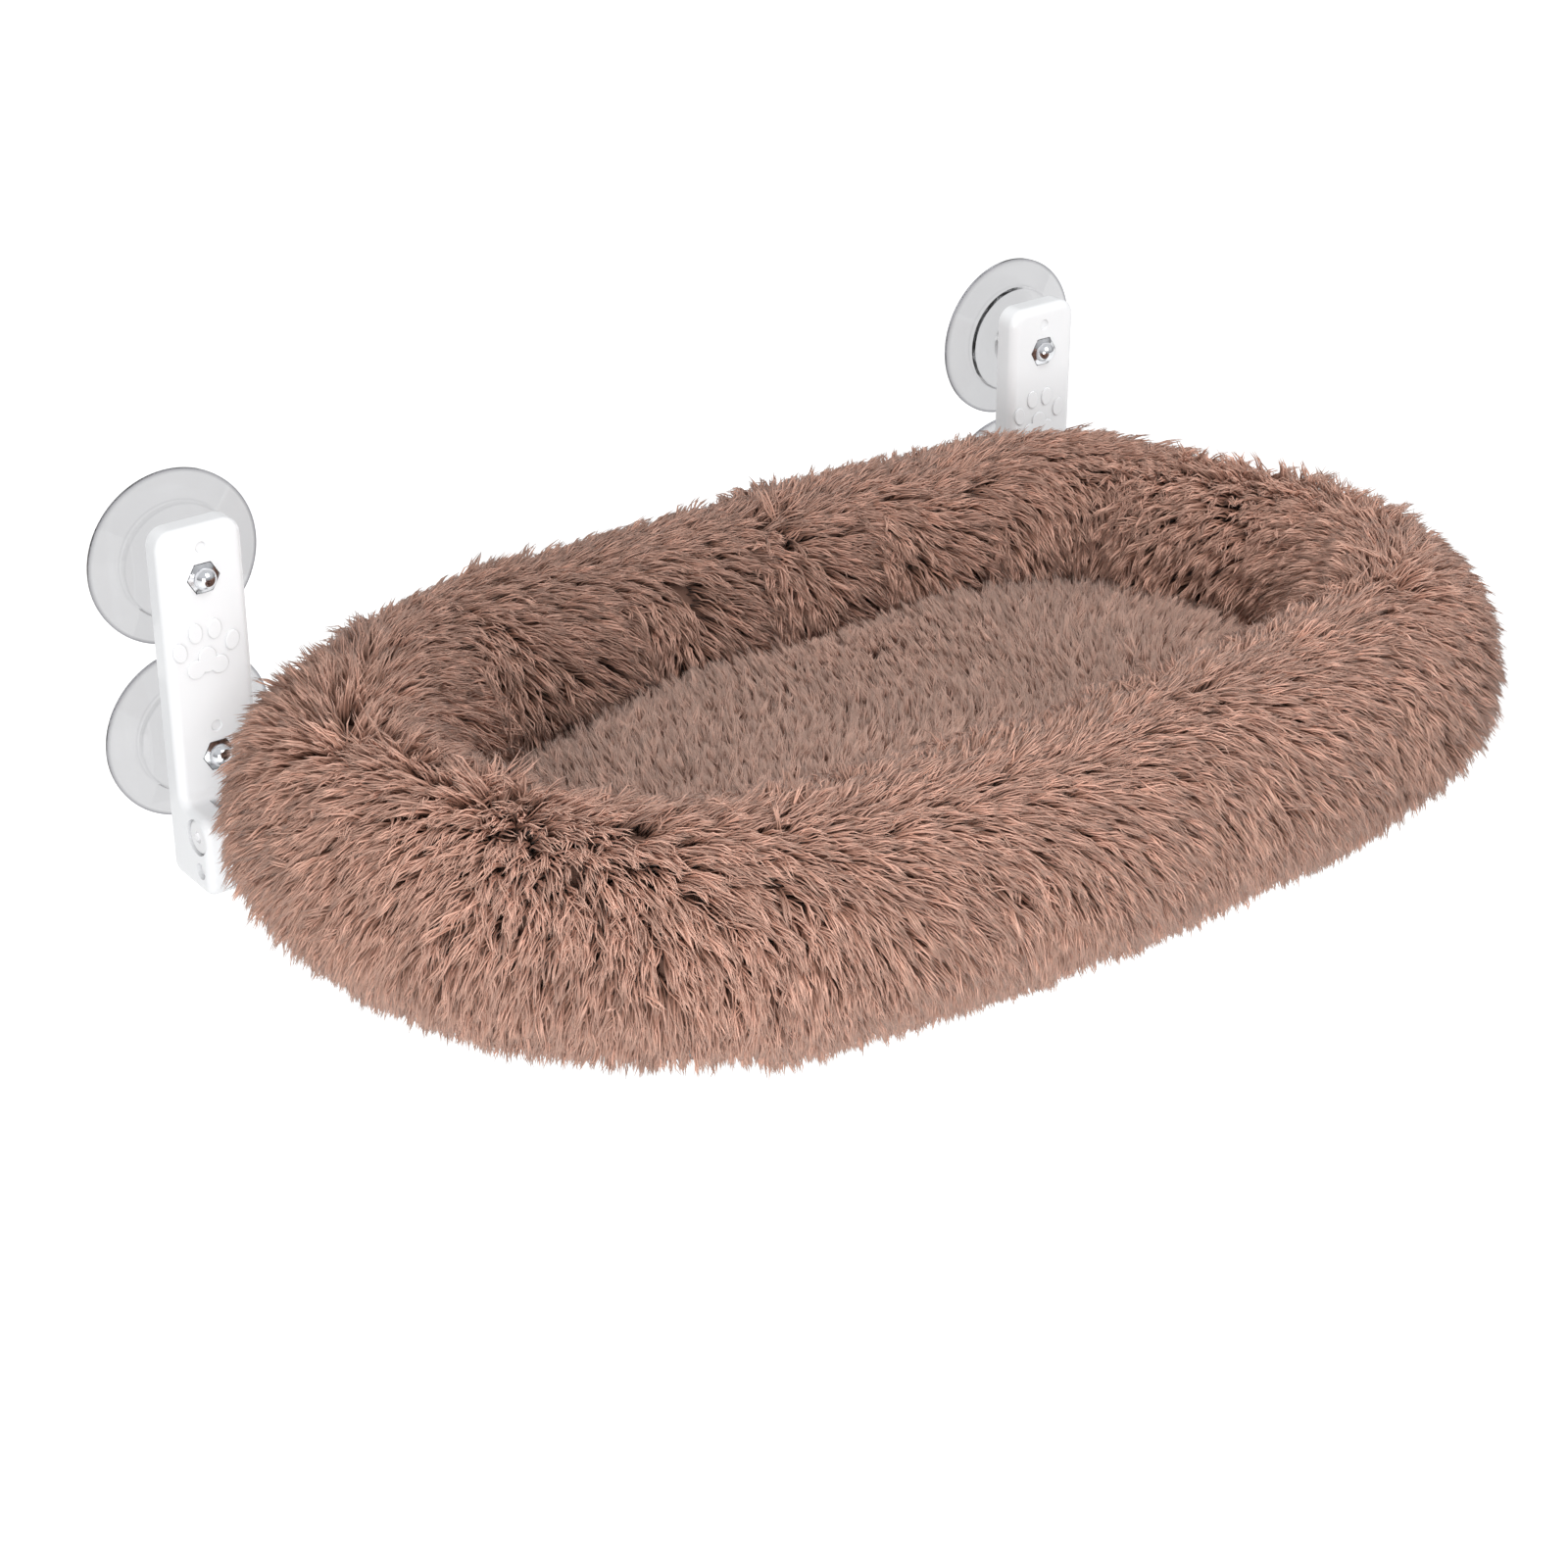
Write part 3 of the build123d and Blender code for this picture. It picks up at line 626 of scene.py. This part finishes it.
def bed_path(grow):
    """The bed's centre line, moved outward by grow, as eight tangent arcs."""
    a = ring_half_length + grow
    b = ring_half_width + grow
    long_radius = long_side_share * ring_half_length + grow
    short_radius = short_side_share * ring_half_width + grow
    corner_radius = corner_share * ring_half_width + grow
    long_centre = np.array((0, b - long_radius))
    end_centre = np.array((a - short_radius, 0))
    apart = np.linalg.norm(end_centre - long_centre)
    from_long = long_radius - corner_radius
    from_end = short_radius - corner_radius
    along = (from_long**2 - from_end**2 + apart**2) / (2 * apart)
    aside = math.sqrt(from_long**2 - along**2)
    toward = (end_centre - long_centre) / apart
    corner = long_centre + along * toward + aside * np.array((toward[1], -toward[0]))
    end_angle = math.atan2(*(corner - end_centre)[::-1])
    long_angle = math.atan2(*(corner - long_centre)[::-1])
    corner_sweep = long_angle - end_angle
    top = quarter_turn - long_angle
    half = math.pi
    arcs = (
        (end_centre, short_radius, -end_angle, 2 * end_angle),
        (corner, corner_radius, end_angle, corner_sweep),
        (long_centre, long_radius, long_angle, 2 * top),
        (corner * (-1, 1), corner_radius, half - long_angle, corner_sweep),
        (-end_centre, short_radius, half - end_angle, 2 * end_angle),
        (-corner, corner_radius, half + end_angle, corner_sweep),
        (-long_centre, long_radius, half + long_angle, 2 * top),
        (corner * (1, -1), corner_radius, 2 * half - long_angle, corner_sweep),
    )
    middle = np.array((0, bed_middle_y))
    return np.vstack([arc_run(centre + middle, *arc) for centre, *arc in arcs])


def hump(value, middle, width):
    """A smooth hump, one high at middle, that fades out over width."""
    return np.exp(-(((value - middle) / width) ** 2))


def rising(value, start, end):
    """0 up to start and 1 from end on, and straight between."""
    return np.clip((value - start) / (end - start), 0, 1)


def round_gap(share, at):
    """How far share lies past the place at, the shorter way round the bed."""
    return (share - at + 0.5) % 1 - 0.5


def bolster_skin(share, turn):
    """Places, outward normals, ways along and ways up over the section, on the bolster's skin."""
    places, facing = walk(bed_path(0), share)
    x, y = places[..., 0], places[..., 1]
    fuller = rising(x, *left_fuller_x) ** 2 * (1 - left_fuller_loss * rising(y, *left_fuller_y))
    drawn = hump(x, *right_drawn_x) * hump(y, *right_drawn_y)
    front_left = hump(x, *front_left_x) * hump(y, *front_left_y)
    shift_x = front_left_drawn * front_left - left_fuller * fuller - right_drawn * drawn
    shift_y = sum(swell * hump(x, middle, width) for swell, middle, width in rear_swells)
    places = places + np.stack([shift_x, shift_y * rising(y, *rear_swells_y)], -1)
    lumps = np.zeros_like(share)
    for waves, tilt, start in lump_waves:
        lumps += np.sin(2 * math.pi * waves * share + tilt * turn + start)
    inner = np.clip(-np.cos(turn), 0, 1)
    gathers = sum(hump(round_gap(share, at) * gather_girth, 0, gather_width) for at in gather_places)
    radius = skin_radius + lump_depth * lumps / lumps_at_most - gather_depth * gathers * inner
    below = np.clip(-np.sin(turn), 0, 1)
    radius = radius + below**skin_foot_power * (skin_foot - skin_radius)
    zeros = np.zeros_like(share)
    out = np.stack([facing[..., 0], facing[..., 1], zeros], -1)
    along = np.stack([-facing[..., 1], facing[..., 0], zeros], -1)
    rise = np.array((0, 0, 1.0))
    cos, sin = np.cos(turn)[..., None], np.sin(turn)[..., None]
    normal = cos * out + sin * rise
    over = -sin * out + cos * rise
    middle = np.stack([places[..., 0], places[..., 1], zeros + ring_height], -1)
    return middle + radius[..., None] * normal, normal, along, over, out


skin_share, skin_turn = np.meshgrid(
    np.arange(skin_along) / skin_along,
    np.arange(skin_across) / skin_across * 2 * math.pi,
    indexing="ij",
)
skin_points = bolster_skin(skin_share, skin_turn)[0].reshape(-1, 3)
skin_faces = []
for i in range(skin_along):
    for j in range(skin_across):
        here, ahead = i * skin_across, (i + 1) % skin_along * skin_across
        above = (j + 1) % skin_across
        skin_faces.append((here + j, ahead + j, ahead + above, here + above))
backing = hard_finish(
    "pile_backing", backing_low, backing_high,
    smooth=0.85, rough=0.95, clouds=60, grains=2200, relief=0.0006,
)
bolster_body = new_piece("bolster_body", skin_points.tolist(), skin_faces, backing)
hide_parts("bolster_cover", "bolster_filling")
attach(bolster_body, "perch")
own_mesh(bolster_body)

# Long pile. Fibres of about 22 mm that stand in locks, each lock drawn to one tip, shorter under the ring.
# Each is three sided and pale at the tip; its dark root is partly its dye and partly painted shade deep in
# the pile.
pile_root_dye_and_shade = (0.125, 0.060, 0.042, 1)
pile_middle = (0.46, 0.245, 0.175, 1)
pile_tip = (0.66, 0.405, 0.315, 1)
root_band = (0.02, 0.36)
tip_band = (0.36, 0.92)
pile_roughness = 0.55
pile_sheen = 0.08
sheen_roughness = 0.4
long_pile_spread = 0.75
pile_length = 0.0225
lock_count = 27000
lock_spare = 1.45
lock_spread = 0.0012
lock_length_spread = 0.13
lock_length_limits = (0.6, 1.35)
lock_draw = (0.45, 0.90)
lock_draw_power = 1.3
lock_stray_spread = 0.34
fibres_in_lock = 5
fibre_radius = 0.00060
fibre_radius_shares = (0.75, 1.25)
fibre_length_shares = (0.78, 1.08)
fibre_waver = 0.00060
fibre_taper = 0.4
fibre_side = (0.31, 0.42, 0.85)
fibres_in_piece = 19000
points_in_fibre = 5
map_low = 0.03
map_height = 0.94
shade_limits = (0.02, 0.98)
lowest_turn = math.radians(-118)
highest_turn = math.radians(192)
bend_radius = 0.155
low_loss = 0.42
low_turns = (math.radians(-5), math.radians(-65))
tray_clearance = 0.003
tray_rim_height = -0.052
lock_shade_spread = 0.17
fibre_shade_spread = 0.13
# Painted shade: the pile's tone is darkened at the bed's rear and on its right outer wall, where it lies in
# more shade.
rear_painted_shade = 0.20
rear_painted_shade_at = (0.34, 0.10)
right_painted_shade = 0.26
right_painted_shade_at = (0.92, 0.07)
right_painted_shade_turns = (math.radians(50), math.radians(10))

# The pile parts along the crest, turns about whorls there and round the gathers,
# and hangs down both walls. At the first whorl it stands nearly upright.
parting_width = 0.016
parting_turn = math.radians(84)
parting_waves = ((0.010, 3, 1.0), (0.005, 11, 0.0))
crest_sweep = 1.4
crest_width = 0.035
flow_stray = 0.30
whorl_reach = 0.030
whorl_push = 0.6
whorl_calm = 0.5
whorl_places = (
    (0.457, -0.005), (0.545, 0.006), (0.650, 0.012), (0.800, -0.004), (0.930, 0.006),
    (0.235, 0.004), (0.345, -0.008),
)
gather_draw = 1.1
gather_turns = (math.radians(95), math.radians(130))
upright_along = 0.034
upright_across = 0.026
upright_lift = 0.62
least_lean = 0.50
flow_lean = 0.66
outer_lift = 0.34
outer_turns = (math.radians(55), math.radians(5))
twist_least = 0.22
twist_upright = 0.25
under_turns = (math.radians(-30), math.radians(-80))
under_way = 0.60
root_lean = 0.55
tip_lean = 1.22
tip_droop = 0.30
noise_waves = 8


def unit(vectors):
    """The vectors at length one."""
    return vectors / np.linalg.norm(vectors, axis=-1, keepdims=True)


def grow_pile(name, paths, radii, shades, material):
    """Tapered three-sided fibres through paths (fibre, point, xyz), in pieces that stay light enough.
    The map OFBake holds each fibre's shade across and its way from root to tip up."""
    last_point = paths.shape[1] - 1
    for part, first in enumerate(range(0, len(paths), fibres_in_piece)):
        chosen = slice(first, first + fibres_in_piece)
        path = paths[chosen]
        count = len(path)
        way = unit(path[:, -1] - path[:, 0])
        side = unit(np.cross(way, fibre_side))
        other = np.cross(way, side)
        rows_of_points = []
        for k in range(last_point):
            reach = (radii[chosen] * (1 - k / last_point) ** fibre_taper)[:, None]
            for corner in range(3):
                angle = 2 * math.pi * corner / 3
                outward = math.cos(angle) * side + math.sin(angle) * other
                rows_of_points.append(path[:, k] + reach * outward)
        rows_of_points.append(path[:, -1])
        points = np.stack(rows_of_points, 1)
        per = points.shape[1]
        quads = [
            (3 * k + c, 3 * k + (c + 1) % 3, 3 * k + 3 + (c + 1) % 3, 3 * k + 3 + c)
            for k in range(last_point - 1)
            for c in range(3)
        ]
        last = 3 * (last_point - 1)
        triangles = [(last + c, last + (c + 1) % 3, per - 1) for c in range(3)] + [(2, 1, 0)]
        loops_of_one = np.array([v for face in quads + triangles for v in face])
        sizes = np.array([len(face) for face in quads + triangles])
        loops = (loops_of_one + per * np.arange(count)[:, None]).ravel()
        starts = np.concatenate([[0], np.cumsum(sizes)[:-1]])
        face_starts = (starts + len(loops_of_one) * np.arange(count)[:, None]).ravel()
        mesh = bpy.data.meshes.new(f"{name}_{part}")
        mesh.vertices.add(count * per)
        mesh.vertices.foreach_set("co", points.reshape(-1).astype(np.float32))
        mesh.loops.add(len(loops))
        mesh.loops.foreach_set("vertex_index", loops.astype(np.int32))
        mesh.polygons.add(len(face_starts))
        mesh.polygons.foreach_set("loop_start", face_starts.astype(np.int32))
        mesh.polygons.foreach_set("loop_total", np.tile(sizes, count).astype(np.int32))
        mesh.polygons.foreach_set("use_smooth", np.ones(len(face_starts), bool))
        heights = np.append(np.repeat(np.arange(last_point), 3), last_point) / last_point
        baked = mesh.uv_layers.new(name="OFBake")
        across = np.repeat(shades[chosen], len(loops_of_one))
        up = np.tile(map_low + map_height * heights[loops_of_one], count)
        baked.data.foreach_set("uv", np.column_stack([across, up]).ravel().astype(np.float32))
        mesh.update(calc_edges=True)
        mesh.materials.append(material)
        piece = bpy.data.objects.new(f"{name}_{part}", mesh)
        bpy.context.scene.collection.objects.link(piece)
        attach(piece, "perch")
        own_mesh(piece)


strand, strand_in, strand_out = shade_group(
    "strand_tone",
    [(colour, "NodeSocketColor") for colour in ("Root", "Middle", "Tip")] + [("Spread", "NodeSocketFloat")],
    [("Color", "NodeSocketColor")],
)
strand_map = strand.nodes.new("ShaderNodeUVMap")
strand_map.uv_map = "OFBake"
strand_split = strand.nodes.new("ShaderNodeSeparateXYZ")
strand.links.new(strand_map.outputs[0], strand_split.inputs[0])
strand_colour = strand_in.outputs["Root"]
for (low, high), colour in ((root_band, "Middle"), (tip_band, "Tip")):
    band = set_inputs(strand.nodes.new("ShaderNodeMapRange"), From_Min=low, From_Max=high)
    strand.links.new(strand_split.outputs["Y"], band.inputs["Value"])
    strand_colour = mixed(strand, band.outputs[0], strand_colour, strand_in.outputs[colour])
centred = strand.nodes.new("ShaderNodeMath")
centred.operation = "SUBTRACT"
centred.inputs[1].default_value = 0.5
strand_shade = strand.nodes.new("ShaderNodeMath")
strand_shade.operation = "MULTIPLY_ADD"
strand_shade.inputs[2].default_value = 1.0
join(
    strand,
    (strand_split.outputs["X"], centred.inputs[0]),
    (centred.outputs[0], strand_shade.inputs[0]),
    (strand_in.outputs["Spread"], strand_shade.inputs[1]),
    (mixed(strand, 1.0, strand_colour, strand_shade.outputs[0], "MULTIPLY"), strand_out.inputs["Color"]),
)


def pile_finish(name, root, middle, tip, spread):
    """Fibres pale at the tip, each with a shade of its own, and dark at the root partly from their dye and
    partly as painted shade deep in the pile.
    """
    material = bpy.data.materials.new(name)
    material.use_nodes = True
    tree = material.node_tree
    shader = tree.nodes["Principled BSDF"]
    set_inputs(shader, Roughness=pile_roughness, Sheen_Weight=pile_sheen, Sheen_Roughness=sheen_roughness)
    tone = tree.nodes.new("ShaderNodeGroup")
    tone.node_tree = strand
    set_inputs(tone, Root=root, Middle=middle, Tip=tip, Spread=spread)
    tree.links.new(tone.outputs[0], shader.inputs["Base Color"])
    return material


def smooth_noise(share, across, seed, waves, scale):
    """A smooth field round the bed, about -1 to 1, that joins up after a full turn."""
    wave_chance = np.random.default_rng(seed)
    total = np.zeros_like(share)
    for _ in range(noise_waves):
        turns = int(wave_chance.integers(waves // 3, waves))
        tilt = wave_chance.normal(0, 1 / scale)
        start = wave_chance.uniform(0, 2 * math.pi)
        total += np.sin(2 * math.pi * turns * share + tilt * across + start)
    return total * 2 / noise_waves


def bolster_flow(share, turn):
    """Which way the pile lies at each place, as parts along and over, and how far it leans."""
    across = (turn - parting_turn) * skin_radius
    for size, turns, start in parting_waves:
        across = across + size * np.sin(2 * math.pi * turns * share + start)
    sweep = -crest_sweep * np.sin(2 * math.pi * share) * hump(across, 0, crest_width)
    sweep = sweep + flow_stray * smooth_noise(share, across, seed=3, waves=16, scale=0.03)
    flow = np.stack([sweep, np.tanh(across / parting_width)], -1)
    for at, over in whorl_places:
        offset = np.stack([round_gap(share, at) * girth, across - over], -1)
        weight = hump(np.linalg.norm(offset, axis=-1), 0, whorl_reach)[..., None]
        flow = flow * (1 - whorl_calm * weight) + whorl_push * weight * offset / whorl_reach
    inside = rising(turn, *gather_turns)
    for at in gather_places:
        aside = round_gap(share, at) * girth / gather_reach
        flow[..., 0] -= gather_draw * inside * aside * np.exp(0.5 - aside**2)
    first_at, first_over = whorl_places[0]
    upright = hump(round_gap(share, first_at) * girth, 0, upright_along)
    upright = upright * hump(across, first_over, upright_across)
    lean = (least_lean + flow_lean * np.linalg.norm(flow, axis=-1)) * (1 - upright_lift * upright)
    lean = np.clip(lean, 0, 1) * (1 - outer_lift * rising(turn, *outer_turns))
    twist = twist_least + twist_upright * (1 - lean)
    twist = twist * smooth_noise(share, across, seed=5, waves=26, scale=0.02)
    cos, sin = np.cos(twist), np.sin(twist)
    flow = np.stack([cos * flow[..., 0] - sin * flow[..., 1], sin * flow[..., 0] + cos * flow[..., 1]], -1)
    return flow, lean


def tray_gap(x, y):
    """How far a place lies outside the tray of mesh, seen from above."""
    half_x = cup_x + tube_radius + mesh_thickness - frame_corner / 2
    low, high = -frame_front - tube_radius - mesh_thickness, -mesh_rear
    middle, half_y = (low + high) / 2, (high - low) / 2 - frame_corner / 2
    dx = np.maximum(np.abs(x) - half_x, 0)
    dy = np.maximum(np.abs(y - middle) - half_y, 0)
    return np.hypot(dx, dy) - frame_corner / 2


def fibre_lines(roots, first, final, length, points):
    """Lines from the roots that set out along first and bend to final."""
    ways = [t * first + t * t / 2 * (final - first) for t in np.linspace(0, 1, points)]
    return np.stack([roots + length[..., None] * way for way in ways], 1)


def pile_paths(share, turn, length, astray):
    """The line of each fibre on the bolster, from its root in the skin to its tip."""
    roots, normal, along, over, out = bolster_skin(share, turn)
    flow, lean = bolster_flow(share, turn)
    flow = flow + astray
    rise = np.array((0, 0, 1.0))
    lying = unit(flow[..., :1] * along + flow[..., 1:] * over)
    under = rising(turn, *under_turns)[..., None]
    lying = unit(lying * (1 - under) + under * under_way * (out - rise))
    lean = lean[..., None]
    first = unit(normal * np.cos(root_lean * lean) + lying * np.sin(root_lean * lean))
    final = unit(normal * np.cos(tip_lean * lean) + lying * np.sin(tip_lean * lean) - tip_droop * rise)
    return fibre_lines(roots, first, final, length, points_in_fibre)


chance = np.random.default_rng(7)
bed_line = bed_path(0)
girth = float(np.linalg.norm(np.diff(np.vstack([bed_line, bed_line[:1]])[:, :2], axis=0), axis=1).sum())
lock_tries = int(lock_count * lock_spare)
lock_share = chance.uniform(0, 1, lock_tries)
lock_turn = chance.uniform(lowest_turn, highest_turn, lock_tries)
room_there = (bend_radius + skin_radius * np.cos(lock_turn)) / (bend_radius + skin_radius)
kept = chance.uniform(0, 1, lock_tries) < room_there
lock_share, lock_turn = lock_share[kept], lock_turn[kept]
locks = len(lock_share)
fibres = fibres_in_lock * locks
lock_of = np.repeat(np.arange(locks), fibres_in_lock)
fibre_share = (lock_share[lock_of] + chance.normal(0, lock_spread, fibres) / girth) % 1
fibre_turn = lock_turn[lock_of] + chance.normal(0, lock_spread, fibres) / skin_radius
lock_length = pile_length * np.clip(chance.normal(1, lock_length_spread, locks), *lock_length_limits)
lock_length *= 1 - low_loss * rising(lock_turn, *low_turns)
lock_stray = chance.normal(0, lock_stray_spread, (locks, 2))
lock_lines = pile_paths(lock_share, lock_turn, lock_length, lock_stray)
fibre_length = lock_length[lock_of] * chance.uniform(*fibre_length_shares, fibres)
lines = pile_paths(fibre_share, fibre_turn, fibre_length, lock_stray[lock_of])
drawn = chance.uniform(*lock_draw, fibres)[:, None]
tip_pull = drawn * (lock_lines[lock_of, -1] - lines[:, -1])
for k, t in enumerate(np.linspace(0, 1, points_in_fibre)):
    lines[:, k] += t**lock_draw_power * tip_pull
lines[:, 1:] += chance.normal(0, fibre_waver, lines[:, 1:].shape)
clear = (tray_gap(lines[:, 0, 0], lines[:, 0, 1]) > tray_clearance) | (lines[:, 0, 2] > tray_rim_height)
# Painted shade: locks at the rear and on the right outer wall get a darker tone.
painted_shade_rear = rear_painted_shade * hump(lock_share, *rear_painted_shade_at)
painted_shade_right = right_painted_shade * hump(lock_share, *right_painted_shade_at) * rising(lock_turn, *right_painted_shade_turns)
lock_shade = 0.5 + lock_shade_spread * chance.normal(0, 1, locks) - painted_shade_rear - painted_shade_right
shades = np.clip(lock_shade[lock_of] + chance.normal(0, fibre_shade_spread, fibres), *shade_limits)
radii = fibre_radius * chance.uniform(*fibre_radius_shares, fibres)
long_pile = pile_finish("long_pile", pile_root_dye_and_shade, pile_middle, pile_tip, long_pile_spread)
grow_pile("long_pile", lines[clear], radii[clear], shades[clear], long_pile)

# Cushion. A loose pillow in a cover of shorter pile, laid on the floor of the bed.
# Its sides are drawn in at the foot, and cats have pressed its top a little flat.
cushion_foot = -0.0655
cushion_crown = 0.0475
cushion_edge = 0.0505
cushion_corner = corner_share * ring_half_width - cushion_edge
level_shares = ((0, 0.14), (0.07, 0.03), (0.25, 0), (0.66, 0), (0.82, 0.09), (0.93, 0.31), (1, 0.72))
pillow_low = (0.085, 0.052, 0.042, 1)
pillow_high = (0.150, 0.098, 0.080, 1)
pillow_dent = 0.0018
pillow_dent_x = (21, 1.1)
pillow_dent_y = (33, 0.6)
pillow_crease = (0.6, 47, -29)
pillow_swell = 0.0012
dent_power = 3
level_smoothings = 2
pillow_levels = 22
foot_pulls = (0.2, 0.5, 0.8)
crown_pulls = np.linspace(0.95, 0.05, 16)


def pillow_top(x, y):
    """The height of the cushion's top over a place, with its shallow dents."""
    size, per_x, per_y = pillow_crease
    across = np.sin(pillow_dent_x[0] * x + pillow_dent_x[1])
    up = np.sin(pillow_dent_y[0] * (y - bed_middle_y) + pillow_dent_y[1])
    return pillow_dent * (across * up + size * np.sin(per_x * x + per_y * y))


def pillow_ring(inset, height, pull=1.0):
    """One ring of the cushion, its side drawn in by a share of the corner."""
    return ring_at(bed_path(-cushion_edge - inset * cushion_corner), 0, height, pull)


fine = np.linspace(0, 1, pillow_levels)
given = np.linspace(0, 1, len(level_shares))
rises, insets = [np.interp(fine, given, column) for column in zip(*level_shares)]
for _ in range(level_smoothings):
    insets[1:-1] = (insets[:-2] + 2 * insets[1:-1] + insets[2:]) / 4
    rises[1:-1] = (rises[:-2] + 2 * rises[1:-1] + rises[2:]) / 4
pillow_rings = [pillow_ring(insets[0], cushion_foot, pull) for pull in foot_pulls]
for rise, inset in zip(rises, insets):
    ring = pillow_ring(inset, cushion_foot + rise * cushion_crown)
    ring[:, 2] += pillow_top(ring[:, 0], ring[:, 1]) * rise**dent_power
    pillow_rings.append(ring)
for pull in crown_pulls:
    ring = pillow_ring(insets[-1], cushion_foot + cushion_crown, pull)
    ring[:, 2] += pillow_top(ring[:, 0], ring[:, 1]) + pillow_swell * (1 - pull)
    pillow_rings.append(ring)
pillow_skin = hard_finish(
    "pillow_skin", pillow_low, pillow_high,
    smooth=0.85, rough=0.95, clouds=70, grains=2200, relief=0.0006,
)
pillow_body = stacked("pillow_body", pillow_rings, pillow_skin)
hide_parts("cushion_cover", "cushion_filling")
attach(pillow_body, "perch")
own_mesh(pillow_body)

# Short pile. Finer, greyer fibres of about 12 mm over the cushion's top and upper
# sides, brushed in slow swirls where it has been lain on.
# The short pile's dark root is likewise partly dye and partly painted shade deep in the pile.
short_root_dye_and_shade = (0.050, 0.023, 0.017, 1)
short_middle = (0.36, 0.200, 0.148, 1)
short_tip = (0.74, 0.490, 0.395, 1)
short_pile_spread = 0.6
short_length = 0.0125
short_length_spread = 0.18
short_length_limits = (0.6, 1.5)
short_lock_count = 7200
short_spare = 1.5
short_in_lock = 7
short_spread = 0.0009
short_stray_spread = 0.7
short_draw = (0.5, 0.9)
short_radius = 0.00048
short_length_shares = (0.8, 1.1)
short_waver = 0.0004
short_points = 3
short_shade_spread = 0.20
short_fibre_shade_spread = 0.12
short_angle = 0.5
short_swirls = ((1.5, 9, 0, 1.0), (1.3, -6, 17, 0), (0.8, 31, 23, 0))
short_raise = 0.0006
short_lie = 0.25
short_rise = 1.30
short_splay = 0.6
oval_power = 2.9
oval_locks = 0.98
oval_fibres = 0.985
edge_band = (0.30, 1.0)
edge_drop = 0.34
edge_power = 2.2
reach_x = ring_half_length - cushion_edge
reach_y = ring_half_width - cushion_edge


def oval_share(places):
    """0 at the cushion's middle and 1 at its rim."""
    return (np.abs(places[:, 0]) / reach_x) ** oval_power + (np.abs(places[:, 1]) / reach_y) ** oval_power


def short_paths(places, length, astray):
    """The line of each fibre on the cushion, from its root to its tip."""
    x, y = places[:, 0], places[:, 1]
    world_y = y + bed_middle_y
    zeros = np.zeros(len(x))
    edge = rising(oval_share(places), *edge_band)
    height = cushion_foot + cushion_crown * (1 - edge_drop * edge**edge_power)
    roots = np.column_stack([x, world_y, height + pillow_top(x, world_y) + short_raise])
    angle = short_angle + astray
    for size, per_x, per_y, start in short_swirls:
        angle = angle + size * np.sin(per_x * x + per_y * y + start)
    lying = np.column_stack([np.cos(angle), np.sin(angle), zeros])
    outward = unit(np.column_stack([x / reach_x**2, y / reach_y**2, zeros]))
    normal = unit(np.array((0, 0, 1.0)) + short_splay * edge[:, None] * outward)
    first = unit(normal + short_lie * lying)
    final = unit(short_rise * normal + lying)
    return fibre_lines(roots, first, final, length, short_points)


short_tries = int(short_lock_count * short_spare)
short_x = chance.uniform(-reach_x, reach_x, short_tries)
short_y = chance.uniform(-reach_y, reach_y, short_tries)
short_locks = np.column_stack([short_x, short_y])
short_locks = short_locks[oval_share(short_locks) < oval_locks]
short_lock_of = np.repeat(np.arange(len(short_locks)), short_in_lock)
short_places = short_locks[short_lock_of] + chance.normal(0, short_spread, (len(short_lock_of), 2))
on_cushion = oval_share(short_places) < oval_fibres
short_lock_of, short_places = short_lock_of[on_cushion], short_places[on_cushion]
short_fibres = len(short_lock_of)
short_chance = chance.normal(1, short_length_spread, len(short_locks))
short_lock_length = short_length * np.clip(short_chance, *short_length_limits)
short_stray = chance.normal(0, short_stray_spread, len(short_locks))
short_lock_lines = short_paths(short_locks, short_lock_length, short_stray)
short_fibre_length = short_lock_length[short_lock_of] * chance.uniform(*short_length_shares, short_fibres)
short_lines = short_paths(short_places, short_fibre_length, short_stray[short_lock_of])
short_drawn = chance.uniform(*short_draw, short_fibres)[:, None]
short_lines[:, -1] += short_drawn * (short_lock_lines[short_lock_of, -1] - short_lines[:, -1])
short_lines[:, 1:] += chance.normal(0, short_waver, short_lines[:, 1:].shape)
short_lock_shade = 0.5 + short_shade_spread * chance.normal(0, 1, len(short_locks))
short_shades = short_lock_shade[short_lock_of] + chance.normal(0, short_fibre_shade_spread, short_fibres)
short_shades = np.clip(short_shades, *shade_limits)
short_radii = short_radius * chance.uniform(*fibre_radius_shares, short_fibres)
short_pile = pile_finish("short_pile", short_root_dye_and_shade, short_middle, short_tip, short_pile_spread)
grow_pile("short_pile", short_lines, short_radii, short_shades, short_pile)
